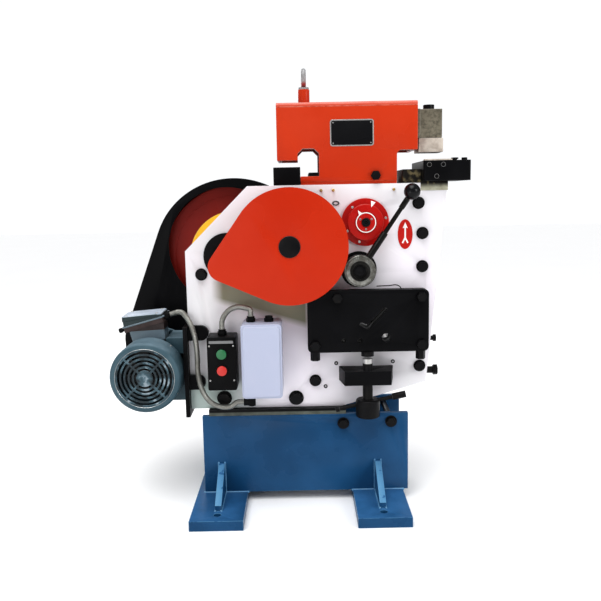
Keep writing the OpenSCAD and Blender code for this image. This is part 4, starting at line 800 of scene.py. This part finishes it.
rim_flange_r = wheel_r / mm + 16
rim_flange_in = wheel_r / mm - 12
rim_flange_form = turned_form(
    [(rim_flange_in, -7), (rim_flange_r, -7), (rim_flange_r, -1), (rim_flange_r - 2, 1), (rim_flange_in, 1),
     (rim_flange_in, -7)], 96, False,
)
repeated(
    "flywheel_flange", rim_flange_form, [on_front(wheel_mid.x / mm, wheel_mid.z / mm, wheel_low.y)],
    flywheel_enamel, "flywheel_unit",
)

# The guard stands well clear of the flange, most of all at its sides; its window sits high and to the left
bulge_reach = wheel_r + 45 * mm
bulge_side = 18 * mm
bulge_up = 11 * mm
window_reach = wheel_r + 6.5 * mm
window_back = wheel_low.y - 20 * mm
window_shift = Vector((-19, 0, 28)) * mm
window_shrink = 23 * mm
for corner in rounded("belt_guard", 1.2 * mm, black_enamel).data.vertices:
    out = from_axle(corner)
    if out.length < window_reach and corner.co.y < window_back:
        corner.co += window_shift - window_shrink * out.normalized()
    elif out.length < bulge_reach:
        corner.co += Vector((bulge_side * out.x, 0, bulge_up * out.z)) / out.length
guard_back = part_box("belt_guard")[1].y
facing_back = (-math.pi / 2, 0, 0)
guard_screw_rings = ((-168, 622, 191, (10, 75, 140)), (-378, 348, 93, (200, 265, 330)))
guard_screw_places = [
    (Vector((x * mm, guard_back, z * mm)), facing_back)
    for ring in guard_screw_rings
    for x, z in round_about(*ring)
]
repeated("guard_screws", screw_form, guard_screw_places, ground_steel, "frame", 1.1)

# Moulded skin, slightly pebbled: the belts' rubber here, the plastics further down
moulded, given, result = new_group(
    "moulded_skin",
    {"Tone": (0.1, 0.1, 0.1), "Scuffed": (0.2, 0.2, 0.2), "Pebble Scale": 900.0, "Roughness": 0.45},
    ("Colour", "Roughness", "Height"),
)
place = own_place(moulded)
pebble = noise(moulded, place, given["Pebble Scale"], 2.0)
scuffs = spread(moulded, noise(moulded, place, 25.0, 6.0), 0.5, 0.75)
# Scuffs and broken edges are lightened towards the scuffed tone.
lightened = plus(moulded, times(moulded, scuffs, 0.35), times(moulded, edge_mark(moulded), 0.3))
moulded.links.new(blend_colours(moulded, lightened, given["Tone"], given["Scuffed"]), result["Colour"])
moulded.links.new(
    plus(moulded, given["Roughness"], spread(moulded, scuffs, 0.0, 1.0, -0.04, 0.1)), result["Roughness"]
)
moulded.links.new(pebble, result["Height"])
belt_rubber = finished(
    "belt_rubber", moulded, 0.5, Tone=(0.012, 0.012, 0.012), Scuffed=(0.05, 0.05, 0.048),
    Pebble_Scale=700.0, Roughness=0.75,
)
dress(("drive_belts",), belt_rubber)


# Motor: a finned aluminium housing in grey-blue paint, bolted by its feet to an upright plate.
# The cowl has ring slots in front of a plastic fan; the terminal box leans on top.
# The pale dust on the motor's and cowl's upward faces is partly dust and partly a painted highlight of their
# top-lit edges.
motor_tones = {
    "Paint": (0.038, 0.078, 0.1), "Faded": (0.065, 0.115, 0.14), "Worn": (0.34, 0.42, 0.46),
    "Dust": (0.27, 0.38, 0.45), "Patch_Scale": 14.0, "Peel_Scale": 260.0, "Dusting": 0.65, "Roughness": 0.4,
}
motor_paint = finished("motor_paint", enamel, 0.45, gloss=0.25, **motor_tones)
dress(("motor_body",), motor_paint)
cowl_low, cowl_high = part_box("fan_cowl")
cowl_mid = (cowl_low + cowl_high) / 2
grille_r = 74 * mm


def reach_from(tree, x, z):
    """Distance from an axis that runs front to back."""
    flat = wire(
        tree, "ShaderNodeVectorMath", {0: own_place(tree), 1: (1.0, 0.0, 1.0), 2: (-x, 0.0, -z)},
        operation="MULTIPLY_ADD",
    ).outputs["Vector"]
    return wire(tree, "ShaderNodeVectorMath", {0: flat}, operation="LENGTH").outputs["Value"]


def grille_shade_and_glints(tree, paint):
    """Paints the cowl's face round its slots dark as the shade inside the grille, with light patches as
    painted reflections.
    """
    cloud = noise(tree, own_place(tree), 42.0)
    inside = spread(tree, reach_from(tree, cowl_mid.x, cowl_mid.z), grille_r, grille_r - 2 * mm)
    grille_shade = times(tree, inside, spread(tree, cloud, 0.44, 0.56, 0.0, 0.85))
    light = times(tree, inside, spread(tree, cloud, 0.42, 0.34, 0.0, 0.8))
    dark = blend_colours(tree, grille_shade, paint, (0.012, 0.016, 0.019, 1))
    return blend_colours(tree, light, dark, (0.3, 0.36, 0.4, 1))


cowl_paint = finished("cowl_paint", enamel, 0.45, gloss=0.25, over=grille_shade_and_glints, **motor_tones)
rounded("fan_cowl", 0.6 * mm, cowl_paint)

# Terminal box: a painted lid with a bright rim, leaning with the motor; the pale tops are partly a painted
# highlight, and painted shade darkens the lid's sides and a brown wedge below the rim.
motor_axis = Vector((-378, 0, 348))
box_lean = math.radians(15)
leaned = Matrix.Translation(motor_axis * mm) @ Matrix.Rotation(-box_lean, 4, "Y")
lean_up = Vector((-math.sin(box_lean), 0, math.cos(box_lean)))
rim_up = 125
lean_side = Vector((math.cos(box_lean), 0, math.sin(box_lean)))
rim_level = lean_up.dot(motor_axis * mm) + rim_up * mm
band_h = 20 * mm
band_slant = 0.22


def painted_lid_shade(tree, paint):
    """Paints shade in a dark brown wedge between the lid and the painted neck, and painted shade on the lid's
    sides.
    """
    height = height_along(tree, lean_up)
    below = spread(tree, height, rim_level, rim_level - 0.5 * mm)
    slanted = plus(tree, height, times(tree, height_along(tree, lean_side), band_slant))
    band_end = rim_level - band_h + band_slant * lean_side.dot(motor_axis * mm)
    above = spread(tree, slanted, band_end - 0.5 * mm, band_end)
    facing = dot(tree, wire(tree, "ShaderNodeNewGeometry").outputs["Normal"], lean_up)
    side = times(tree, spread(tree, facing, 0.6, 0.4), spread(tree, height, rim_level, rim_level + 4 * mm))
    paint = blend_colours(tree, side, paint, (0.017, 0.031, 0.033, 1))
    wedge_shade = blend_colours(
        tree, noise(tree, own_place(tree), 60.0), (0.022, 0.013, 0.012, 1), (0.07, 0.045, 0.042, 1)
    )
    return blend_colours(tree, times(tree, below, above), paint, wedge_shade)


# Painted light: the thick pale dust on the lid's top stands for its highlight, and the paint is lighter than
# the motor's to lighten the neck in the box's shade.
lid_paint = finished(
    "lid_paint", enamel, 0.4, gloss=0.3, over=painted_lid_shade, Paint=(0.16, 0.22, 0.27), Faded=(0.2, 0.27, 0.31),
    Worn=(0.36, 0.44, 0.48), Dust=(0.62, 0.68, 0.78), Patch_Scale=14.0, Dusting=0.9,
)
terminal_low, terminal_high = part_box("terminal_box")
rim_x0, rim_x1, rim_t, rim_top = -38, 74, 3, 145
lid_tilt = 0.16
lid_screw_in = 12
lid_mid = Vector(((rim_x0 + rim_x1) / 2 * mm, (terminal_low.y + terminal_high.y) / 2, 0))


def tapered(at):
    """Draws the lid in towards its top, which slopes less than its rim."""
    own = leaned.inverted() @ at
    rise = min(max((own.z / mm - rim_up - rim_t) / (rim_top - rim_up - rim_t), 0), 1)
    away = own - lid_mid
    return leaned @ (own + rise * Vector((-0.12 * away.x, -0.08 * away.y, -lid_tilt * away.x)))


for corner in rounded("terminal_box", 1.5 * mm, lid_paint, 3).data.vertices:
    corner.co = tapered(corner.co)
lid_rim = sheet_piece(
    "terminal_lid_rim", soft_box(rim_x0, rim_x1, terminal_low.y / mm, terminal_high.y / mm, 12),
    -rim_up * mm, rim_t * mm, lid_paint, "frame",
)
lid_rim.data.transform(leaned @ Matrix.Rotation(-math.pi / 2, 4, "X"))
repeated(
    "terminal_lid_screws", screw_form,
    [
        (tapered(leaned @ Vector((x * mm, y, rim_top * mm))), (0, lid_tilt - box_lean, 0))
        for x in (rim_x0 + lid_screw_in, rim_x1 - lid_screw_in)
        for y in (terminal_low.y + lid_screw_in * mm, terminal_high.y - lid_screw_in * mm)
    ],
    ground_steel, "frame", 0.8,
)
saddle_outline = [(-27, 66), (56, 66), (66, 112.5), (-27, 112.5)]
saddle_back = 4 * mm
saddle_depth = 54 * mm
saddle = sheet_piece(
    "terminal_saddle", saddle_outline, saddle_back, saddle_depth, lid_paint, "frame", 1 * mm
)
saddle.data.transform(leaned)
plug_r = 4.5 * mm
plug_form = turned_form(
    [(0, -1), (1, -1), (1, 1), (1.4, 1), (1.4, 2.4), (1.1, 2.8), (0, 2.8)], unit=plug_r
)
plug_at = leaned @ Vector((rim_x0 * mm, terminal_low.y + 20 * mm, (rim_up - 5) * mm))
plug_turn = (0, -box_lean - math.pi / 2, 0)
repeated("blank_plug", plug_form, [(plug_at, plug_turn)], black_oxide, "frame")
rounded("motor_plate", 1.2 * mm, black_enamel)
dress(("rotor_shaft",), ground_steel)
fan_plastic = finished(
    "fan_plastic", moulded, 0.3, Tone=(0.012, 0.013, 0.014), Scuffed=(0.05, 0.05, 0.05), Roughness=0.5
)
dress(("cooling_fan",), fan_plastic)
grille_rim_in = grille_r / mm - 1.2
grille_rim_out = grille_r / mm + 1.2
grille_rim_form = turned_form(
    [(grille_rim_in, -1), (grille_rim_out, -1), (grille_rim_out, 0.4), (grille_r / mm, 1.4),
     (grille_rim_in, 0.4), (grille_rim_in, -1)], 64, False,
)
repeated(
    "grille_rim", grille_rim_form, [on_front(cowl_mid.x / mm, cowl_mid.z / mm, cowl_low.y + 1 * mm)],
    ground_steel, "frame",
)
cowl_r = (cowl_high.x - cowl_low.x) / 2
cowl_screw_y = cowl_high.y - 8 * mm
cowl_screw_places = []
for cowl_turn in (50, 140, 220, 320):
    way = math.radians(cowl_turn)
    at = Vector((cowl_mid.x + cowl_r * math.cos(way), cowl_screw_y, cowl_mid.z + cowl_r * math.sin(way)))
    cowl_screw_places.append((at, (0, math.pi / 2 - way, 0)))
repeated("cowl_screws", screw_form, cowl_screw_places, ground_steel, "frame", 0.7)


# Section shear: a thick black hold plate on spacers in front of the fixed blade, with bar and angle openings.
# Ground tool-steel blades; black bolts, a clamp screw in its bracket and a loose tommy bar.
tool_steel = finished(
    "tool_steel", steel, 0.2, metallic=0.9, Steel=(0.3, 0.3, 0.3), Stain=(0.16, 0.14, 0.12),
    Bright=(0.55, 0.55, 0.54), Stain_Scale=30.0, Roughness=0.34,
)
rounded("shear_hold_plate", 1.8 * mm, black_enamel, 3)
rounded("clamp_bar", 1.5 * mm, black_enamel)
rounded("clamp_screw", 0.8 * mm, black_oxide)
dress(("fixed_blade", "rocker_blades"), tool_steel)
dress(("shear_studs",), black_oxide)
dress(("clamp_pad",), ground_steel)
rounded("tommy_bar", 0.6 * mm, black_oxide)

# Bent wire hook on the top of the hold plate
hold_low, hold_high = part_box("shear_hold_plate")
hold_top = hold_high.z
hook_y = (hold_low.y + hold_high.y) / 2
hook_r = 1.3 * mm
hook_line = bpy.data.curves.new("wire_hook", "CURVE")
hook_line.dimensions = "3D"
hook_line.bevel_depth = hook_r
hook_line.bevel_resolution = 3
hook_line.use_fill_caps = True
hook_bend = hook_line.splines.new("BEZIER")
hook_bend.bezier_points.add(3)
for bend, (x, rise) in zip(hook_bend.bezier_points, ((198, 8), (226, 8.6), (252, 8.4), (261, -3))):
    bend.co = (x * mm, hook_y, hold_top + rise * mm)
    bend.handle_left_type = "AUTO"
    bend.handle_right_type = "AUTO"
wire_hook = bpy.data.objects.new("wire_hook", hook_line)
scene.collection.objects.link(wire_hook)
hook_mesh = bpy.data.meshes.new_from_object(wire_hook)
bpy.data.objects.remove(wire_hook)
hook = linked("wire_hook", hook_mesh, black_oxide)
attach(hook, "frame")


# Rocker: a flame-cut steel beam on a pivot shaft, oiled and dark where it shows in the openings.
# Its pivot wears a red cap; the dial in it, with a plain white ring, turns with the shaft.
cap_enamel = finished(
    "cap_enamel", enamel, 0.1, gloss=0.14, Paint=(0.39, 0.006, 0.004), Faded=(0.44, 0.012, 0.008),
    Worn=(0.5, 0.04, 0.03), Dust=(0.55, 0.2, 0.18), Patch_Scale=14.0, Roughness=0.28,
)
dress(("rocker", "pivot_shaft"), dark_steel)
rounded("pivot_cap", 1.5 * mm, cap_enamel, 3)
rounded("indicator_disc", 0.8 * mm, cap_enamel)
pivot_low, pivot_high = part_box("pivot_cap")
pivot_x = (pivot_low.x + pivot_high.x) / 2 / mm
pivot_z = (pivot_low.z + pivot_high.z) / 2 / mm
cap_face = pivot_low.y
dial_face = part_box("indicator_disc")[0].y
for screws_name, ring, turns, face, body, size in (
    ("cap_screws", 50, (12, 131, 204, 251), cap_face, "frame", 0.62),
    ("dial_screws", 16, (30, 150, 270), dial_face, "rocker_unit", 0.5),
):
    screw_places = [on_front(x, z, face) for x, z in round_about(pivot_x, pivot_z, ring, turns)]
    repeated(screws_name, screw_form, screw_places, ground_steel, body, size)


def pointer(name, tip_r, back_r, turn, half_w, face, body):
    """A white triangle in line with the pivot, from its tip to its back, turned in degrees."""
    way = Vector((math.cos(math.radians(turn)), math.sin(math.radians(turn))))
    across = Vector((-way.y, way.x)) * half_w
    middle = Vector((pivot_x, pivot_z))
    corners = [middle + tip_r * way, middle + back_r * way + across, middle + back_r * way - across]
    outline = [tuple(corner) for corner in corners]
    sheet_piece(name, outline, face, mark_t, sign_white, body, mark_edge)


pointer("cap_pointer", 39, 54, 70, 6, cap_face, "frame")
pointer("dial_pointer", 36, 23.5, 123, 5, dial_face, "rocker_unit")
ring_out = 25
ring_in = 22.6
ring_t = 0.5 * mm
sheet_piece(
    "dial_ring", oval(pivot_x, pivot_z, ring_out, ring_out), dial_face, ring_t, sign_white, "rocker_unit",
    mark_edge, oval(pivot_x, pivot_z, ring_in, ring_in),
)
dial_hub_r = 10.5
dial_hub_form = turned_form(
    [(0, -1), (dial_hub_r, -1), (dial_hub_r, 2), (0.86 * dial_hub_r, 3), (0.5 * dial_hub_r, 3),
     (0.45 * dial_hub_r, 0.5), (0, 0.5)], 32,
)
dial_hub_places = [on_front(pivot_x, pivot_z, dial_face)]
repeated("dial_hub", dial_hub_form, dial_hub_places, black_oxide, "rocker_unit")


# Notching station: a black forged block on the left shoulder with its lip inside the hood's throat.
# Punching station: a black table with gauge stops on a ground bolster, under the ram in its guide.
rounded("notch_block", 1.4 * mm, black_enamel, 3)
rounded("punch_table", 1.6 * mm, black_enamel, 3)


def dark_scaled_top(tree, colour):
    """The bolster is near-black with yellowish scale from about 800 mm up, next to the table, and bare steel
    lower down.
    """
    scale = blend_colours(
        tree, spread(tree, noise(tree, own_place(tree), 75.0), 0.5, 0.68), (0.01, 0.008, 0.006, 1),
        (0.19, 0.155, 0.08, 1),
    )
    return blend_colours(tree, spread(tree, height_along(tree), 800 * mm, 811 * mm), colour, scale)


bolster_steel = finished(
    "bolster_steel", steel, 0.3, metallic=0.4, gloss=0.3, over=dark_scaled_top, Steel=(0.44, 0.43, 0.33),
    Stain=(0.2, 0.19, 0.13), Bright=(0.5, 0.48, 0.38), Stain_Scale=34.0, Staining=0.9, Roughness=0.45,
)
guide_steel = finished(
    "guide_steel", steel, 0.5, metallic=0.6, Steel=(0.165, 0.148, 0.108), Stain=(0.08, 0.07, 0.05),
    Bright=(0.3, 0.28, 0.24), Grain_Scale=160.0, Stain_Scale=130.0, Staining=0.85, Roughness=0.5,
)
ram_steel = finished(
    "ram_steel", steel, 0.35, metallic=0.4, Steel=(0.6, 0.54, 0.47), Stain=(0.38, 0.32, 0.27),
    Bright=(0.78, 0.74, 0.69), Grain_Scale=200.0, Stain_Scale=60.0, Staining=0.8, Roughness=0.42,
)
rounded("bolster", 1.2 * mm, bolster_steel)
rounded("ram_guide", 1.2 * mm, guide_steel)
rounded("ram", 0.3 * mm, ram_steel)
dress(("punch_die",), ground_steel)
table_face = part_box("punch_table")[0].y
table_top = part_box("punch_die")[1].z / mm
table_screw_places = [on_front(x, z, table_face) for x, z in ((330, 855), (364, 855), (348, 827))]
repeated("table_screws", screw_form, table_screw_places, black_oxide, "frame", 0.9)
screw_rim_in = screw_r / mm
screw_rim_form = turned_form(
    [(screw_rim_in, -0.5), (1.2 * screw_rim_in, -0.5), (1.16 * screw_rim_in, 0.4), (screw_rim_in, 0.4),
     (screw_rim_in, -0.5)], 24, False,
)
repeated("table_screw_rims", screw_rim_form, table_screw_places, tool_steel, "frame")

# Bright gauge strip along the front of the table's top
gauge_h = 3.5
gauge_back = 16 * mm
sheet_piece(
    "gauge_strip", soft_box(318, 386, table_top, table_top + gauge_h, 0.6), table_face + gauge_back,
    gauge_back - 1 * mm, ram_steel, "frame",
)
knob_r = 8
knob_form = turned_form(
    [(0, -1), (0.6 * knob_r, -1), (0.6 * knob_r, 2), (knob_r, 2.6), (knob_r, 5.4), (0.85 * knob_r, 6), (0, 6)]
)
knob_at = Vector((394 * mm, table_face + gauge_back / 2, table_top * mm))
repeated("gauge_knob", knob_form, [(knob_at, (0, 0, 0))], black_oxide, "frame")


# Hand lever: a steel hub on its shaft, a stepped rod and a polished black ball screwed to its end.
# The hub's recess is painted dark as shade in the hollow, and the flange behind it is black.
lever_hub_x = 157 * mm
lever_hub_z = 601 * mm
rod_start = 38 * mm
recess_r = 25.5 * mm


def black_rod_and_shaded_recess(tree, colour):
    """The rod is black with oil, and the hub's recess is painted dark as shade in the hollow."""
    reach = reach_from(tree, lever_hub_x, lever_hub_z)
    rod = spread(tree, reach, rod_start, rod_start + 1 * mm, 0.0, 0.97)
    recess = spread(tree, reach, recess_r, recess_r - 1 * mm, 0.0, 0.95)
    return blend_colours(tree, plus(tree, rod, recess), colour, (0.008, 0.0075, 0.007, 1))


lever_steel = finished(
    "lever_steel", steel, 0.15, metallic=0.85, gloss=0.3, over=black_rod_and_shaded_recess, Steel=(0.27, 0.27, 0.25),
    Stain=(0.09, 0.085, 0.07), Bright=(0.7, 0.7, 0.68), Stain_Scale=60.0, Staining=0.9, Roughness=0.25,
)
rounded("lever_arm", 0.8 * mm, lever_steel)

# Thrust ring on the hub, and the shaft's end in its recess
hub_face = -129 * mm
hub_r = 34
hub_ring_r = 39.5
hub_back = 34
hub_ring_form = turned_form(
    [(hub_r - 1, -hub_back), (hub_ring_r, -hub_back), (hub_ring_r, -4), (hub_ring_r - 1.5, -2.5),
     (hub_r + 1, -2.5), (hub_r - 1, -3.5), (hub_r - 1, -hub_back)], 64, False,
)
hub_places = [on_front(lever_hub_x / mm, lever_hub_z / mm, hub_face)]
repeated("hub_ring", hub_ring_form, hub_places, lever_steel, "lever_unit")
shaft_end_form = turned_form(
    [(0, -11), (14, -11), (14, -7), (12.5, -6), (9, -6), (8, -7), (3, -7), (0, -8.5)], 32
)
repeated("lever_shaft_end", shaft_end_form, hub_places, black_oxide, "lever_unit")
ball_plastic = finished(
    "ball_plastic", moulded, 0.03, coat=0.1, gloss=0.15, Tone=(0.003, 0.003, 0.004),
    Scuffed=(0.006, 0.006, 0.007), Roughness=0.16,
)
dress(("lever_knob",), ball_plastic)


# Starter box: a pale moulded box with a raised lid, screwed to the plate; its badge place is left bare.
# Beside it a black push-button box with a green and a red button.
box_plastic = finished(
    "box_plastic", moulded, 0.12, coat=0.1, Tone=(0.4, 0.43, 0.55), Scuffed=(0.44, 0.46, 0.57),
    Pebble_Scale=600.0, Roughness=0.42,
)
button_plastic = finished(
    "button_plastic", moulded, 0.25, gloss=0.08, Tone=(0.003, 0.003, 0.0035), Scuffed=(0.009, 0.009, 0.009),
    Roughness=0.4,
)
rounded("starter_box", 1.5 * mm, box_plastic, 3)
rounded("starter_lid", 2.2 * mm, box_plastic, 4)
rounded("button_box", 1.2 * mm, button_plastic, 3)
green_plastic = finished(
    "green_plastic", moulded, 0.05, coat=0.3, Tone=(0.005, 0.13, 0.04), Scuffed=(0.015, 0.18, 0.07),
    Roughness=0.35,
)
red_plastic = finished(
    "red_plastic", moulded, 0.05, coat=0.3, Tone=(0.5, 0.014, 0.008), Scuffed=(0.55, 0.03, 0.02),
    Roughness=0.35,
)
rounded("start_button", 1.5 * mm, green_plastic, 3)
rounded("stop_button", 1.5 * mm, red_plastic, 3)
rounded("cable_glands", 0.5 * mm, button_plastic)
button_low, button_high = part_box("button_box")
strip_grey = finished(
    "strip_grey", enamel, 0.05, Paint=(0.16, 0.16, 0.165), Faded=(0.2, 0.2, 0.2), Roughness=0.4
)
buttons_x = (button_low.x + button_high.x) / 2 / mm
buttons_top = button_high.z / mm
strip_half_w = 30
strip_low = buttons_top - 15
strip_high = buttons_top - 8
strip_t = 0.6 * mm
sheet_piece(
    "button_label_strip",
    soft_box(buttons_x - strip_half_w, buttons_x + strip_half_w, strip_low, strip_high, 1.5),
    button_low.y, strip_t, strip_grey, "frame", 0.15 * mm,
)
screw_in = 6
screw_up = 26
screw_down = 21
corner_places = [
    on_front(x, z, button_low.y)
    for x in (button_low.x / mm + screw_in, button_high.x / mm - screw_in)
    for z in (button_low.z / mm + screw_up, button_high.z / mm - screw_down)
]
repeated("button_box_screws", screw_form, corner_places, ground_steel, "frame", 0.42)


# Conduits: strip-wound metal hose with fine ribs, stiff enough to stand in an arch.
# One runs from the motor's terminal box down to the starter, one from the buttons to the starter.
hose_metal = finished(
    "hose_metal", steel, 0.2, metallic=0.75, Steel=(0.3, 0.3, 0.275), Stain=(0.13, 0.125, 0.11),
    Bright=(0.55, 0.55, 0.51), Stain_Scale=30.0, Roughness=0.38,
)
hose_r = 7 * mm
rib_h = 1.2 * mm
rib_pitch = 3.5 * mm
hose_start = 2 * hose_r


def ribbed_hose():
    """Geometry Nodes tree that sweeps a ring along a path and swells it at every rib."""
    tree, given = shape_tree(
        "ribbed_hose", Path="Geometry", Radius="Float", Rib="Float", Pitch="Float", Finish="Material"
    )
    line = wire(tree, "GeometryNodeMeshToCurve", {"Mesh": given["Path"]})
    step = maths(tree, "DIVIDE", given["Pitch"], 6.0)
    fine = wire(
        tree, "GeometryNodeResampleCurve", {"Curve": line.outputs["Curve"], "Length": step}, mode="LENGTH"
    )
    along = wire(tree, "GeometryNodeSplineParameter").outputs["Length"]
    wave = maths(tree, "SINE", times(tree, maths(tree, "DIVIDE", along, given["Pitch"]), math.pi))
    swell = times(tree, maths(tree, "ABSOLUTE", wave), given["Rib"])
    root = maths(tree, "SUBTRACT", given["Radius"], given["Rib"])
    ring = wire(tree, "GeometryNodeCurvePrimitiveCircle", {"Resolution": 18, "Radius": 1.0})
    tube = wire(
        tree, "GeometryNodeCurveToMesh",
        {"Curve": fine.outputs["Curve"], "Profile Curve": ring.outputs["Curve"],
         "Scale": plus(tree, root, swell), "Fill Caps": True},
    )
    smooth = wire(tree, "GeometryNodeSetShadeSmooth", {"Geometry": tube.outputs["Mesh"]})
    coated_output(tree, smooth.outputs["Geometry"], given["Finish"])
    return tree


hose_tree = ribbed_hose()


def smooth_path(knots, before, after):
    """Points on a smooth curve through the knots, about a rib apart."""
    reach = [before] + knots + [after]
    points = []
    for a, b, c, d in zip(reach, reach[1:], reach[2:], reach[3:]):
        steps = max(2, math.ceil((c - b).length / rib_pitch))
        for k in range(steps):
            t = k / steps
            bend = (2 * a - 5 * b + 4 * c - d) * t**2 + (3 * b - a - 3 * c + d) * t**3
            points.append((2 * b + (c - a) * t + bend) / 2)
    return points + [knots[-1]]


def conduit(node, mouth1, way1, mouth2, way2, route):
    """A ribbed hose between two gland mouths, straight at both ends, that stands for its CAD node."""
    mouth1, mouth2 = Vector(mouth1) * mm, Vector(mouth2) * mm
    way1, way2 = Vector(way1), Vector(way2)
    knots = [mouth1 + hose_start * way1] + [Vector(p) * mm for p in route] + [mouth2 + hose_start * way2]
    before = knots[1] - 2 * (knots[1] - knots[0]).length * way1
    after = knots[-2] - 2 * (knots[-2] - knots[-1]).length * way2
    path = [mouth1] + smooth_path(knots, before, after) + [mouth2]
    mesh = bpy.data.meshes.new(node)
    mesh.from_pydata(path, [(k, k + 1) for k in range(len(path) - 1)], [])
    piece = linked(node + "_hose", mesh, hose_metal)
    grow(piece, hose_tree, Radius=hose_r, Rib=rib_h, Pitch=rib_pitch, Finish=hose_metal)
    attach(piece, "frame")
    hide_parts(node)


gland_reach, gland_y, gland_up = 86, -44.88, 124.5
motor_mouth = motor_axis + Vector((
    gland_reach * math.cos(box_lean) - gland_up * math.sin(box_lean), gland_y,
    gland_reach * math.sin(box_lean) + gland_up * math.cos(box_lean),
))
starter_side_mouth = (-137.2, -120, 276)
starter_top_mouth = (-114.23, -120, 494)
button_mouth = (-187.5, -107.5, 460)
conduit(
    "conduit_motor", motor_mouth, lean_side, starter_side_mouth, (-1, 0, 0),
    [
        (-296, -58, 497), (-281, -84, 491), (-265, -98, 468), (-255, -104, 430),
        (-252.5, -104, 390), (-252.5, -104, 348), (-243.5, -104, 304), (-225, -107, 275),
        (-199, -111, 262), (-172, -117, 263),
    ],
)
conduit(
    "conduit_buttons", button_mouth, (0, 0, 1), starter_top_mouth, (0, 0, 1),
    [(-181, -109, 494), (-166, -112, 510), (-147, -115, 517), (-127, -119, 515)],
)
